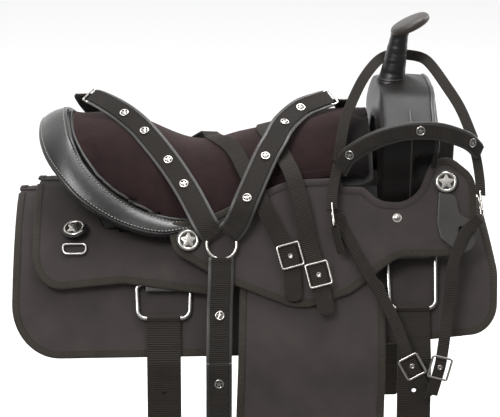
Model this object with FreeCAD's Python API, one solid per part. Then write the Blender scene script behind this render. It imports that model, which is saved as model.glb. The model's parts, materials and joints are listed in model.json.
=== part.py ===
import FreeCAD, Part
import math
import os
from FreeCAD import Vector

# Western saddle with its breast collar and headstall laid on it, millimetres.
# +X points to the horse's head, +Y to the horse's left, +Z up.  The origin is the
# point of the horse's spine under the middle of the skirts.

# ---- driving dimensions --------------------------------------------------
LEAN = 28.0            # the sides of the horse lean this far from upright, degrees
BACK_R = 200.0         # radius of the back over the spine
TURN = math.radians(90.0 - LEAN)      # where the round back becomes the flat side
SIN = math.sin(math.radians(LEAN))
COS = math.cos(math.radians(LEAN))

# Heights of the layers above the horse, inner and outer face
FLEECE = (0.0, 8.0)
SKIRT = (8.0, 13.0)
RIGGING = (13.3, 24.2)
REAR_JOCKEY = (24.7, 28.0)
FENDER = (29.0, 34.0)
SEAT_JOCKEY = (36.0, 41.0)
BAR = (13.3, 33.0)
RING_LAYER = 18.5      # centre of the rigging rings

TAPE = 12.0            # width of the tape that binds each panel's edge
TAPE_PROUD = 0.3      # how far the tape stands above the panel, each face

HORN_CAP_R = 31.5
HORN_CAP_THICK = 14.0
HORN_TILT = 25.6
DEE_WIRE = 3.25        # wire radius of the rigging rings
BILLET_WIDTH = 50.0
COLLAR_WIDTH = 38.0
TUG_WIDTH = 25.0
BOLT_R = 4.0
HORN_POST_R = 9.0
FENDER_PIVOT = (78.0, -24.0)          # x and z of the leathers' swing point

# Outlines seen from the side: x, z and the radius that rounds the corner
SKIRT_EDGE = [(-362, 60, 0), (-367, -184, 72), (40, -182, 200), (352, -155, 44),
              (357, -75, 60), (345, -10, 60), (338, 60, 0)]
REAR_EDGE = [(-334, 60, 0), (-336, -91, 44), (-200, -80, 90), (-45, -100, 20), (-45, 60, 0)]
SEAT_EDGE = [(-136, 2, 10), (-126, -36, 30), (-55, -74, 60), (60, -115, 90), (135, -93, 50),
             (206, -45, 50), (302, -45, 40), (327, -12, 40), (325, 62, 34), (278, 98, 30),
             (256, 76, 26), (232, 26, 44), (180, 30, 40), (158, 49, 14), (126, 50, 6),
             (120, 62, 6), (45, 59, 90), (-20, 34, 60), (-75, 11, 60)]
FENDER_EDGE = [(30, 0, 10), (14, -62, 30), (-29, -80, 20), (-37, -300, 60), (52, -372, 60),
               (52, -466, 0), (104, -466, 0), (104, -372, 60), (182, -300, 60),
               (186, -80, 20), (146, -62, 30), (130, 0, 10)]
FENDER_BEND = (-160.0, 100.0)         # height where the leathers start to hang upright, radius
BILLET_BEND = (-183.0, 25.0)
STRAP_LAYER = 40.0                    # straps that hang outside the fender
KEEPER_EDGE = [(270, 50, 6), (296, 36, 10), (300, 12, 12), (322, 0, 14), (322, -32, 16),
               (298, -42, 12), (284, -30, 10), (270, -20, 6), (265, 0, 20)]

# Seat: x, half width, height of its edge and of its crown
SEAT_RIBS = [(-281, 52, 126, 138), (-272, 92, 108, 136), (-252, 120, 78, 133), (-215, 139, 44, 129),
             (-170, 147, 16, 117), (-120, 152, 0, 94), (-84, 152, 2, 84), (-40, 145, 18, 90),
             (0, 138, 32, 100), (60, 128, 50, 117), (120, 125, 56, 132), (174, 118, 64, 143)]
SEAT_PAD = 20.0        # thickness at the crown
SEAT_PAD_EDGE = 6.0
GROUND_SEAT = 4.5

# Cantle roll: points of its inner seam and of its outer rim, from the middle outwards
ROLL_INNER = [(-286, 0, 139), (-282, 55, 128), (-275, 95, 112), (-258, 122, 83),
              (-227, 140, 52), (-183, 150, 23), (-131, 157, 5), (-100, 161, 3)]
ROLL_OUTER = [(-329, 0, 117), (-327, 60, 107), (-315, 105, 87), (-293, 138, 64),
              (-261, 160, 35), (-208, 172, 5), (-149, 178, -10), (-100, 168, -5)]
ROLL_THICK = 9.0


# ---- helpers ---------------------------------------------------------------
def side_point(x, n, drop):
    """Point n above the flat right side and drop below its upper edge."""
    r = BACK_R + n
    return Vector(x, -r * COS - drop * SIN, -BACK_R + r * SIN - drop * COS)


def side_at(x, n, z):
    """Point n above the flat right side at height z."""
    return side_point(x, n, (-BACK_R + (BACK_R + n) * SIN - z) / COS)


def back_point(x, n, angle):
    """Point n above the round back, angle away from the spine towards the right."""
    r = BACK_R + n
    return Vector(x, -r * math.sin(angle), -BACK_R + r * math.cos(angle))


def rounded(corners, at):
    """Closed wire through corners, each a pair and the radius that rounds it."""
    edges = []
    ends = []
    count = len(corners)
    for i in range(count):
        u, v, radius = corners[i]
        here = Vector(u, v, 0)
        before = Vector(corners[i - 1][0], corners[i - 1][1], 0) - here
        after = Vector(corners[(i + 1) % count][0], corners[(i + 1) % count][1], 0) - here
        before.normalize()
        after.normalize()
        half = before.getAngle(after) / 2
        if radius == 0:
            ends.append((here, here, here))
            continue
        reach = radius / math.tan(half)
        inward = before + after
        inward.normalize()
        middle = here + inward * (radius / math.sin(half) - radius)
        ends.append((here + before * reach, middle, here + after * reach))
    for i in range(count):
        start, middle, end = ends[i]
        if corners[i][2] != 0:
            edges.append(Part.Arc(at(start), at(middle), at(end)).toShape())
        edges.append(Part.LineSegment(at(end), at(ends[(i + 1) % count][0])).toShape())
    return Part.Wire(edges)


def side_wire(corners, y=0.0):
    return rounded(corners, lambda p: Vector(p.x, y, p.y))


def prism(wire, along):
    return Part.Face(wire).extrude(along)


def back_layer(n0, n1, x0, x1, drop, start=0.0, end=TURN):
    """Right half of a sheet over the round back and, past it, down the flat side."""
    edges = [Part.Arc(back_point(x0, n1, start), back_point(x0, n1, (start + end) / 2),
                      back_point(x0, n1, end)).toShape()]
    outer, inner = back_point(x0, n1, end), back_point(x0, n0, end)
    if drop:
        edges.append(Part.LineSegment(outer, side_point(x0, n1, drop)).toShape())
        edges.append(Part.LineSegment(side_point(x0, n1, drop), side_point(x0, n0, drop)).toShape())
        edges.append(Part.LineSegment(side_point(x0, n0, drop), inner).toShape())
    else:
        edges.append(Part.LineSegment(outer, inner).toShape())
    edges.append(Part.Arc(inner, back_point(x0, n0, (start + end) / 2), back_point(x0, n0, start)).toShape())
    edges.append(Part.LineSegment(back_point(x0, n0, start), back_point(x0, n1, start)).toShape())
    return prism(Part.Wire(edges), Vector(x1 - x0, 0, 0))


def flat_layer(n0, n1, x0, x1, rise, drop):
    """Slab on the flat right side, from rise above its upper edge to drop below it."""
    corners = [side_point(x0, n0, -rise), side_point(x0, n1, -rise),
               side_point(x0, n1, drop), side_point(x0, n0, drop)]
    return prism(Part.makePolygon(corners + corners[:1]), Vector(x1 - x0, 0, 0))


def hanging_layer(n0, n1, x0, x1, rise, bend_z, bend_r, bottom):
    """Sheet down the flat side that bends to hang upright, to height bottom."""
    middle = (n0 + n1) / 2
    bend = side_at(x0, middle, bend_z)
    centre = bend + Vector(0, bend_r * COS, -bend_r * SIN)
    thick = (n1 - n0) / 2

    def at(angle, r):
        return centre + Vector(0, -r * math.cos(angle), r * math.sin(angle))

    lean = math.radians(LEAN)
    outer, inner = bend_r + thick, bend_r - thick
    top_out = side_point(x0, n1, -rise)
    top_in = side_point(x0, n0, -rise)
    foot_out = Vector(x0, at(0, outer).y, bottom)
    foot_in = Vector(x0, at(0, inner).y, bottom)
    edges = [Part.LineSegment(top_in, top_out).toShape(),
             Part.LineSegment(top_out, at(lean, outer)).toShape(),
             Part.Arc(at(lean, outer), at(lean / 2, outer), at(0, outer)).toShape(),
             Part.LineSegment(at(0, outer), foot_out).toShape(),
             Part.LineSegment(foot_out, foot_in).toShape(),
             Part.LineSegment(foot_in, at(0, inner)).toShape(),
             Part.Arc(at(0, inner), at(lean / 2, inner), at(lean, inner)).toShape(),
             Part.LineSegment(at(lean, inner), top_in).toShape()]
    return prism(Part.Wire(edges), Vector(x1 - x0, 0, 0))


def bound_panel(make_sheet, layer, corners):
    """A panel cut to corners and the tape round its edge, as two solids."""
    edge = side_wire(corners)
    away = Vector(0, -500, 0)
    whole = prism(edge, away)
    core = prism(edge.makeOffset2D(-TAPE), away)
    panel = make_sheet(layer[0], layer[1]).common(core)
    tape = make_sheet(layer[0] - TAPE_PROUD, layer[1] + TAPE_PROUD).common(whole.cut(core))
    return panel, tape


def on_back(shape, x, n, angle):
    """Set a shape, built facing -Y at the origin, on the round back or the flat side."""
    placed = shape.copy()
    placed.rotate(Vector(0, 0, 0), Vector(1, 0, 0), math.degrees(angle) - 90)
    placed.translate(back_point(x, n, angle))
    return placed


def on_side(shape, x, n, z):
    placed = shape.copy()
    placed.rotate(Vector(0, 0, 0), Vector(1, 0, 0), -LEAN)
    placed.translate(side_at(x, n, z))
    return placed


def mirrored(shape):
    return shape.mirror(Vector(0, 0, 0), Vector(0, 1, 0))


def both_sides(shape):
    return Part.makeCompound([shape, mirrored(shape)])


def only_solid(shape):
    """The one solid of a boolean result."""
    return max(shape.Solids, key=lambda s: s.Volume)


def write(name, shape):
    if isinstance(shape, list):
        shape = Part.makeCompound(shape)
    for i, solid in enumerate(shape.Solids):
        if not solid.isValid():
            print("INVALID", name, i)
    box = shape.BoundBox
    print("%-26s solids %2d  volume %9.0f  x %5.0f %5.0f  y %5.0f %5.0f  z %5.0f %5.0f" % (
        name, len(shape.Solids), shape.Volume, box.XMin, box.XMax, box.YMin, box.YMax, box.ZMin, box.ZMax))
    shape.exportStep("parts/%s.step" % name)


# ---- skirts, jockeys and fleece ---------------------------------------------
def channel():
    """Open strip over the spine, wider from under the seat to the front."""
    rear = Part.makeBox(400, 2, 120, Vector(-420, -1, -60))
    front = Part.makeBox(600, 90, 120, Vector(-160, -45, -60))
    return rear.fuse(front)


def skirt():
    def sheet(n0, n1):
        return back_layer(n0, n1, -400, 400, 150).cut(channel())
    panel, tape = bound_panel(sheet, SKIRT, SKIRT_EDGE)
    return only_solid(panel), tape


def fleece():
    edge = side_wire(SKIRT_EDGE).makeOffset2D(-6.0)
    sheet = back_layer(FLEECE[0], FLEECE[1] - TAPE_PROUD, -400, 400, 150)
    return only_solid(sheet.cut(channel()).common(prism(edge, Vector(0, -500, 0))))


def rear_jockey():
    def sheet(n0, n1):
        """Over the spine behind the seat, and only below the bars beside it."""
        whole = back_layer(n0, n1, -400, 0, 150)
        beside = rounded([(-237.5, 2, 0), (60, 2, 0), (60, -130.5, 0), (-237.5, -130.5, 36)],
                         lambda p: Vector(p.x, p.y, -100))
        whole = whole.cut(prism(beside, Vector(0, 0, 300)))
        return whole.cut(Part.makeBox(400, 2, 120, Vector(-420, -1, -60)))
    return bound_panel(sheet, REAR_JOCKEY, REAR_EDGE)


def seat_jockey():
    def sheet(n0, n1):
        return flat_layer(n0, n1, -200, 400, 230, 60)
    return bound_panel(sheet, SEAT_JOCKEY, SEAT_EDGE)


# ---- tree -----------------------------------------------------------------------
def bar():
    """Wooden bar along the back, wider under the fork than under the cantle."""
    sector = back_layer(BAR[0], BAR[1], -235, 280, 0, math.radians(12), math.radians(41))
    plan = rounded([(-235, -50, 24), (280, -50, 24), (280, -160, 40), (-12, -160, 30), (-38, -128, 30),
                    (-235, -128, 34)], lambda p: Vector(p.x, p.y, -100))
    return only_solid(sector.common(prism(plan, Vector(0, 0, 300))))


def bars_cylinder():
    """The round top of the bars, which the fork and the cantle stand on."""
    return Part.makeCylinder(BACK_R + BAR[1] + 0.2, 800, Vector(-400, 0, -BACK_R), Vector(1, 0, 0))


def fork_profile(grow):
    """Front view of the fork: swells, top and the gullet arch under it."""
    half = [(-62 - grow, 177 + grow, 70), (-148 - grow, 128, 28), (-142 - grow, 92, 24),
            (-127 - grow, 52, 20), (-127 - grow, -60, 0), (-76 + grow, -60, 0),
            (-76 + grow, 60, 34), (-44 + grow, 122 - grow, 36)]
    corners = half + [(-y, z, r) for y, z, r in reversed(half)]
    return rounded(corners, lambda p: Vector(0, p.x, p.y))


FORK_X = (189.0, 264.0)
FORK_COVER_X = (182.0, 271.0)
FORK_COVER_FOOT = 12.0      # the cover ends this high, tucked under the jockeys


def jockey_room(lift):
    """Space in front of the swells, from lift above the horse, for the jockeys' front lobes."""
    slab = flat_layer(lift, 90, 234.5, 300, 230, 60)
    return slab.common(Part.makeBox(100, 200, 110, Vector(228, -260, -13)))


def fork():
    block = prism(fork_profile(0), Vector(FORK_X[1] - FORK_X[0], 0, 0))
    block.translate(Vector(FORK_X[0], 0, 0))
    block = block.cut(bars_cylinder()).cut(both_sides(jockey_room(30.5)))
    block = block.cut(post_cylinder(HORN_POST_R))
    return only_solid(block)


def fork_cover():
    block = prism(fork_profile(3.0), Vector(FORK_COVER_X[1] - FORK_COVER_X[0], 0, 0))
    block.translate(Vector(FORK_COVER_X[0], 0, 0))
    inside = prism(fork_profile(0), Vector(FORK_X[1] - FORK_X[0], 0, 0))
    inside.translate(Vector(FORK_X[0], 0, 0))
    foot = Part.makeBox(200, 400, 200, Vector(100, -200, FORK_COVER_FOOT - 200))
    inside = inside.cut(both_sides(jockey_room(30.5)))
    block = block.cut(both_sides(jockey_room(33.5)))
    shell = block.cut(inside).cut(foot).cut(bars_cylinder()).cut(post_cylinder(HORN_POST_R))
    return only_solid(shell)


HORN_FOOT = Vector(208, 0, 140)
HORN_NECK = Vector(211, 0, 188)
HORN_TOP = Vector(222, 0, 256)


def horn_cap_axis():
    tilt = math.radians(HORN_TILT)
    return Vector(-math.sin(tilt), 0, math.cos(tilt))


def post_cylinder(radius):
    way = HORN_TOP - HORN_FOOT
    return Part.makeCylinder(radius, way.Length + 4, HORN_FOOT, way)


def horn_cap():
    """Round cap, its rim rounded, with a recess for the post's head."""
    axis = horn_cap_axis()
    centre = Vector(237, 0, 269)
    base = centre - axis * (HORN_CAP_THICK / 2)
    disc = Part.makeCylinder(HORN_CAP_R, HORN_CAP_THICK, base, axis)
    disc = disc.makeFillet(5.5, [e for e in disc.Edges if e.Closed and len(e.Vertexes) == 1
                                 and e.Curve.TypeId == "Part::GeomCircle"])
    return disc


def horn_post(cap):
    return only_solid(post_cylinder(HORN_POST_R).cut(cap))


def horn_wrap(cap, cover):
    way = HORN_TOP - HORN_NECK
    start = HORN_NECK - way * 0.12
    wrap = Part.makeCone(21.5, 13.5, way.Length * 1.17, start, way)
    wrap = wrap.cut(post_cylinder(HORN_POST_R)).cut(cap).cut(cover)
    block = prism(fork_profile(0), Vector(FORK_X[1] - FORK_X[0], 0, 0))
    block.translate(Vector(FORK_X[0], 0, 0))
    return only_solid(wrap.cut(block))


def seat_rib(x, width, edge, crown, top, bottom):
    """Closed arch in an upright plane; top and bottom are (crown, edge) depths."""
    def arc(depth):
        end = Vector(x, width, edge - depth[1])
        return end, Vector(x, 0, crown - depth[0]), Vector(x, -width, edge - depth[1])
    a, b, c = arc(top)
    d, e, f = arc(bottom)
    return Part.Wire([Part.Arc(a, b, c).toShape(), Part.LineSegment(c, f).toShape(),
                      Part.Arc(f, e, d).toShape(), Part.LineSegment(d, a).toShape()])


def seat_shell(top, bottom):
    ribs = [seat_rib(x, w, edge, crown, top, bottom) for x, w, edge, crown in SEAT_RIBS]
    return Part.makeLoft(ribs, True, False)


def cantle_roll(cut_by):
    """Band over the rim of the cantle, from its right end round to its left end."""
    sections = []
    pairs = list(zip(ROLL_INNER, ROLL_OUTER))
    row = [((a[0], -a[1], a[2]), (b[0], -b[1], b[2])) for a, b in reversed(pairs)] + pairs[1:]
    for i, (inner, outer) in enumerate(row):
        a, b = Vector(*inner), Vector(*outer)
        before, after = row[max(i - 1, 0)][0], row[min(i + 1, len(row) - 1)][0]
        down = (b - a).cross(Vector(*after) - Vector(*before))
        down.normalize()
        if down.z > 0:
            down = down * -1
        depth = down * ROLL_THICK
        sections.append(Part.makePolygon([a, b, b + depth, a + depth, a]))
    roll = Part.makeLoft(sections, True, True)
    for other in cut_by:
        roll = roll.cut(other)
    return only_solid(roll)


def cantle_board(front, thick, cut_by):
    """Upright board behind the seat, leaning back, on the rear of the bars."""
    outline = rounded([(-136, -40, 0), (-136, 66, 40), (-96, 108, 60), (96, 108, 60), (136, 66, 40),
                       (136, -40, 0)], lambda p: Vector(0, p.x, p.y))
    board = prism(outline, Vector(-thick, 0, 0))
    shear = FreeCAD.Matrix()
    shear.A13 = -0.50
    board = board.transformGeometry(shear)
    board.translate(Vector(front, 0, 0))
    for other in cut_by:
        board = board.cut(other)
    return only_solid(board.cut(bars_cylinder()))


# ---- rigging ----------------------------------------------------------------------
def wire_loop(corners, radius):
    """Closed ring of round wire through rounded corners in the XZ plane."""
    path = side_wire(corners)
    solids = []
    for edge in path.Edges:
        if isinstance(edge.Curve, Part.Line):
            a, b = edge.firstVertex().Point, edge.lastVertex().Point
            if (b - a).Length > 0.01:
                solids.append(Part.makeCylinder(radius, (b - a).Length, a, b - a))
        else:
            start = edge.valueAt(edge.FirstParameter)
            along = edge.tangentAt(edge.FirstParameter)
            disc = Part.Face(Part.Wire(Part.makeCircle(radius, start, along)))
            centre = edge.Curve.Center
            axis = (start - centre).cross(along)
            turn = math.degrees(edge.LastParameter - edge.FirstParameter)
            solids.append(disc.revolve(centre, axis, turn))
    ring = solids[0].multiFuse(solids[1:])
    return only_solid(ring.removeSplitter())


def dee(width, height, corner):
    """Rigging ring hanging from the middle of its straight bar at the origin."""
    w = width / 2
    return wire_loop([(-w, 0, 9), (w, 0, 9), (w - 2, -height, corner), (-w + 2, -height, corner)], DEE_WIRE)


BILLET_BOTTOM = -415.0
BILLET_HOLES = 5       # for the cinch buckle's tongue
BILLET_HOLE_R = 3.5
BILLET_HOLE_Z = -235.0
BILLET_HOLE_STEP = 35.0
DEES = {"rear": (-141.5, -84.0, 80.0, 51.8), "front": (227.5, -44.0, 72.0, 86.0)}   # x, bar z, size


def rigging_strap(x, bar_z, top_z):
    """Leather doubled round the ring's bar and laid up under the seat."""
    low, high = RIGGING
    foot = side_at(x, RING_LAYER, bar_z)
    if x < 0:
        strap = back_layer(low, high, x - 27, x + 27, 60)
    else:
        strap = flat_layer(low, high, x - 27, x + 27, 150, 60)
    window = prism(side_wire([(x - 40, top_z, 0), (x + 40, top_z, 0), (x + 40, bar_z - 8, 0),
                              (x - 40, bar_z - 8, 0)]), Vector(0, -500, 0))
    bore = Part.makeCylinder(DEE_WIRE + 0.2, 80, foot - Vector(40, 0, 0), Vector(1, 0, 0))
    return only_solid(strap.common(window).cut(bore).cut(bar()))


def billet(x, ring_bottom_z, bottom):
    """Webbing strap looped on the ring, lying on the skirt and hanging past its edge."""
    thin = (RING_LAYER - 2.0, RING_LAYER + 2.0)
    w = BILLET_WIDTH / 2
    foot = side_at(x, RING_LAYER, ring_bottom_z)
    strap = hanging_layer(thin[0], thin[1], x - w, x + w, 160, BILLET_BEND[0], BILLET_BEND[1], bottom)
    window = Part.makeBox(200, 600, 700, Vector(x - 100, -600, ring_bottom_z - 4.5 - 700))
    loop = Part.makeCylinder(DEE_WIRE + 1.8, 2 * w - 8, foot - Vector(w - 4, 0, 0), Vector(1, 0, 0))
    bore = Part.makeCylinder(DEE_WIRE + 0.3, 2 * w + 20, foot - Vector(w + 10, 0, 0), Vector(1, 0, 0))
    whole = strap.common(window).fuse(loop).cut(bore).removeSplitter()
    for i in range(BILLET_HOLES):
        z = BILLET_HOLE_Z - i * BILLET_HOLE_STEP
        whole = whole.cut(Part.makeCylinder(BILLET_HOLE_R, 200, Vector(x, -350, z), Vector(0, 1, 0)))
    return only_solid(whole)


# ---- leathers and stirrups ------------------------------------------------------------
STIRRUP_BOLT_Z = -474.0
STIRRUP_X = FENDER_PIVOT[0]
LOOP_R = 10.0


def fender_sheet(n0, n1):
    return hanging_layer(n0, n1, -150, 300, 140, FENDER_BEND[0], FENDER_BEND[1], STIRRUP_BOLT_Z)


def fender_foot_y():
    bend = side_at(0, (FENDER[0] + FENDER[1]) / 2, FENDER_BEND[0])
    return bend.y + FENDER_BEND[1] * COS - FENDER_BEND[1]


def fender():
    panel, tape = bound_panel(fender_sheet, FENDER, FENDER_EDGE)
    return only_solid(panel), tape


def leather_loop():
    """Loop of the stirrup leather round the stirrup's bolt."""
    y = fender_foot_y()
    w = 26.0
    roll = Part.makeCylinder(LOOP_R, 2 * w, Vector(STIRRUP_X - w, y, STIRRUP_BOLT_Z - LOOP_R + 3), Vector(1, 0, 0))
    bore = Part.makeCylinder(BOLT_R + 0.3, 2 * w + 10,
                             Vector(STIRRUP_X - w - 5, y, STIRRUP_BOLT_Z - LOOP_R + 3), Vector(1, 0, 0))
    return roll.cut(bore)


BOLT_Z = STIRRUP_BOLT_Z - LOOP_R + 3
STIRRUP_OUTER = [(-42, 14, 6), (42, 14, 6), (50, -60, 60), (78, -120, 40), (72, -156, 18),
                 (-72, -156, 18), (-78, -120, 40), (-50, -60, 60)]
STIRRUP_INNER = [(-30, 28, 0), (30, 28, 0), (37, -60, 60), (64, -118, 30), (60, -142, 10),
                 (-60, -142, 10), (-64, -118, 30), (-37, -60, 60)]
STIRRUP_DEPTH = 52.0


def stirrup():
    """Bell stirrup, open at the top where the leather goes in, bolt holes beside it."""
    outer = prism(side_wire(STIRRUP_OUTER, STIRRUP_DEPTH / 2), Vector(0, -STIRRUP_DEPTH, 0))
    inner = prism(side_wire(STIRRUP_INNER, 60), Vector(0, -120, 0))
    hole = Part.makeCylinder(BOLT_R, 200, Vector(-100, 0, 0), Vector(1, 0, 0))
    body = only_solid(outer.cut(inner).cut(hole))
    body.translate(Vector(STIRRUP_X, fender_foot_y(), BOLT_Z))
    return body


def stirrup_bolt():
    shank = Part.makeCylinder(BOLT_R, 100, Vector(-50, 0, 0), Vector(1, 0, 0))
    head = Part.makeCylinder(8.5, 6, Vector(-54, 0, 0), Vector(1, 0, 0))
    nut = Part.makeCylinder(8.5, 6, Vector(48, 0, 0), Vector(1, 0, 0))
    bolt = shank.fuse([head, nut]).removeSplitter()
    bolt.translate(Vector(STIRRUP_X, fender_foot_y(), BOLT_Z))
    return bolt


def stirrup_tread():
    pad = Part.makeBox(96, 50, 5, Vector(-48, -25, -142))
    pad.translate(Vector(STIRRUP_X, fender_foot_y(), BOLT_Z))
    return pad


# ---- ornaments -----------------------------------------------------------------------------
def disc(radius, thick, base=0.0):
    """Button facing -Y with its back at y = -base."""
    return Part.makeCylinder(radius, thick, Vector(0, -base, 0), Vector(0, -1, 0))


def angle_at(n, z):
    return math.acos((z + BACK_R) / (BACK_R + n))


def concho_places():
    """Functions that set a shape on each of the three conchos' places."""
    rear = angle_at(REAR_JOCKEY[1], -17)
    jockey = SEAT_JOCKEY[1]
    return [lambda s, up: on_back(s, -273, REAR_JOCKEY[1] + up, rear),
            lambda s, up: on_side(s, -104, jockey + up, -19),
            lambda s, up: on_side(s, 281, jockey + up, 56)]


def small_dee():
    ring = wire_loop([(-17, 0, 5), (17, 0, 5), (17, -17, 8), (-17, -17, 8)], 1.9)
    return on_back(ring, -273, REAR_JOCKEY[1] + 3.3, angle_at(REAR_JOCKEY[1], -32))


def keeper():
    """Leather keeper for the cinch strap's end, with its slot."""
    sheet = flat_layer(SEAT_JOCKEY[1] + TAPE_PROUD + 0.4, SEAT_JOCKEY[1] + 3.6, 200, 400, 230, 60)
    piece = sheet.common(prism(side_wire(KEEPER_EDGE), Vector(0, -500, 0)))
    slot = prism(side_wire([(298, -4, 2.5), (304, -4, 2.5), (303, -25, 2.5), (297, -25, 2.5)]), Vector(0, -500, 0))
    front_concho = concho_places()[2]
    return only_solid(piece.cut(slot).cut(front_concho(disc(19.0, 12.0), -1.0)))


def build_saddle():
    skirt_panel, skirt_tape = skirt()
    write("skirt_right", skirt_panel)
    write("skirt_left", mirrored(skirt_panel))
    write("skirt_bindings", both_sides(skirt_tape))
    lining = fleece()
    write("fleece_lining", both_sides(lining))
    rear_panel, rear_tape = rear_jockey()
    write("rear_jockey_right", rear_panel)
    write("rear_jockey_left", mirrored(rear_panel))
    write("rear_jockey_bindings", both_sides(rear_tape))
    seat_panel, seat_tape = seat_jockey()
    write("seat_jockey_right", seat_panel)
    write("seat_jockey_left", mirrored(seat_panel))
    write("seat_jockey_bindings", both_sides(seat_tape))

    write("tree_bars", both_sides(bar()))
    cap = horn_cap()
    cover = fork_cover()
    write("tree_fork", fork())
    write("fork_cover", cover)
    write("horn_cap", cap)
    write("horn_post", horn_post(cap))
    write("horn_wrap", horn_wrap(cap, cover))

    pad = seat_shell((0, 0), (SEAT_PAD, SEAT_PAD_EDGE))
    base = seat_shell((SEAT_PAD + 0.5, SEAT_PAD_EDGE + 0.5),
                      (SEAT_PAD + GROUND_SEAT, SEAT_PAD_EDGE + GROUND_SEAT))
    write("seat_cover", pad)
    write("ground_seat", base)
    roll = cantle_roll([pad, base, seat_panel, seat_tape, mirrored(seat_panel), mirrored(seat_tape)])
    write("cantle_roll", roll)
    board = cantle_board(-219.0, 14.0, [pad, base, roll])
    write("tree_cantle", board)
    write("cantle_back", cantle_board(-234.0, 3.0, [pad, base, roll, board]))

    straps = [rigging_strap(x, z, z + 50) for x, z, w, h in DEES.values()]
    write("rigging_straps", both_sides(Part.makeCompound(straps)))
    for name, (x, z, w, h) in DEES.items():
        ring = on_side(dee(w, h, 13), x, RING_LAYER, z)
        write(name + "_dee_right", ring)
        write(name + "_dee_left", mirrored(ring))
        low = z - h * COS
        strap = billet(x, low, BILLET_BOTTOM)
        write(name + "_billet_right", strap)
        write(name + "_billet_left", mirrored(strap))

    fender_panel, fender_tape = fender()
    for side, flip in (("right", lambda s: s), ("left", mirrored)):
        write("fender_" + side, [flip(fender_panel), flip(leather_loop())])
        write("fender_binding_" + side, flip(fender_tape))
        write("stirrup_" + side, flip(stirrup()))
        write("stirrup_bolt_" + side, flip(stirrup_bolt()))
        write("stirrup_tread_" + side, flip(stirrup_tread()))
        write("concho_dee_" + side, flip(small_dee()))

    rosettes = Part.makeCompound([place(disc(18, 2.0), 0.5) for place in concho_places()])
    stars = Part.makeCompound([place(disc(15.5, 2.4), 2.6) for place in concho_places()])
    write("concho_rosettes", both_sides(rosettes))
    write("star_conchos", both_sides(stars))
    write("jockey_rivets", both_sides(on_side(disc(7.5, 3.0), 206, SEAT_JOCKEY[1] + 0.1, 8)))
    write("cinch_keepers", both_sides(keeper()))


# ---- breast collar and headstall --------------------------------------------------------
HANG_Y = -262.0        # straps that hang upright outside the fender


def outward(point):
    """Direction away from the middle of the horse, square to +X."""
    away = Vector(0, point.y, point.z + 80)
    away.normalize()
    return away


def ribbon(points, width, thick, faces=None):
    """Flat strap through points; faces are the directions its outer face looks."""
    faces = faces or [outward(p) for p in points]
    sections = []
    for i, point in enumerate(points):
        before, after = points[max(i - 1, 0)], points[min(i + 1, len(points) - 1)]
        along = after - before
        along.normalize()
        across = along.cross(faces[i])
        across.normalize()
        face = across.cross(along)
        side, up = across * (width / 2), face * (thick / 2)
        sections.append(Part.makePolygon([point - side - up, point + side - up, point + side + up,
                                          point - side + up, point - side - up]))
    return Part.makeLoft(sections, True, True)


def stand(shape, point, along, face):
    """Place a shape, built in the XZ plane facing -Y, at point with +Z along."""
    across = along.cross(face)
    across.normalize()
    face = across.cross(along)
    face.normalize()
    up = Vector(along)
    up.normalize()
    m = FreeCAD.Matrix(across.x, -face.x, up.x, point.x, across.y, -face.y, up.y, point.y,
                       across.z, -face.z, up.z, point.z, 0, 0, 0, 1)
    placed = shape.copy()
    placed.Placement = FreeCAD.Placement(m)
    return placed


def frame_buckle(width, length):
    """Flat rectangular buckle frame with the stud plate in its middle."""
    w, h = width / 2, length / 2
    outer = prism(side_wire([(-w, -h, 4), (w, -h, 4), (w, h, 4), (-w, h, 4)], 1.75), Vector(0, -3.5, 0))
    inner = prism(side_wire([(-w + 4, -h + 4, 2), (w - 4, -h + 4, 2), (w - 4, h - 4, 2), (-w + 4, h - 4, 2)],
                            5), Vector(0, -10, 0))
    return outer.cut(inner)


COLLAR_RING = side_at(-55, 47.5, -24)
COLLAR_RING_R = 22.0
COLLAR_REAR = [Vector(-64, -180, -14), Vector(-79, -176, 6), Vector(-104, -138, 46), Vector(-133, -101, 83),
               Vector(-168, -64, 119), Vector(-190, -37, 134), Vector(-212, -14, 145), Vector(-236, 2, 155),
               Vector(-250, 10, 159)]
COLLAR_FRONT = [Vector(-46, -182, -10), Vector(-32, -180, 8), Vector(-17, -168, 41), Vector(12, -119, 92),
                Vector(28, -92, 113), Vector(43, -58, 129), Vector(70, -12, 141), Vector(98, 3, 149),
                Vector(117, 11, 153)]
TUG_REAR = [Vector(-262, 14, 160), Vector(-264, 50, 146), Vector(-250, 100, 112), Vector(-215, 136, 72),
            Vector(-165, 158, 36), Vector(-115, 160, 36), Vector(-82, 124, 64), Vector(-66, 70, 87),
            Vector(-60, 12, 95), Vector(-36, -54, 93), Vector(-18, -113, 71), Vector(-5, -146, 51),
            Vector(7, -166, 29),
            Vector(29, -181, -11), Vector(46, -195, -39), Vector(50, -218, -84), Vector(51, -226, -100)]
TUG_FRONT = [Vector(132, 18, 156), Vector(140, 50, 141), Vector(138, 100, 112), Vector(118, 140, 66),
             Vector(84, 146, 58), Vector(48, 128, 78), Vector(26, 70, 102), Vector(14, 0, 112),
             Vector(30, -71, 101), Vector(50, -134, 73), Vector(58, -154, 49), Vector(66, -171, 20), Vector(75, -190, -25),
             Vector(87, -211, -63), Vector(96, -232, -105), Vector(98, -238, -118)]
GIRTH_STRAP = [side_at(-56, 47.5, -52), side_at(-57, 46.5, -74), side_at(-59, STRAP_LAYER + 2, -110),
               side_at(-60, STRAP_LAYER, -150), Vector(-61, -258, -182), Vector(-61, HANG_Y, -206),
               Vector(-62, HANG_Y, -400)]

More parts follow.
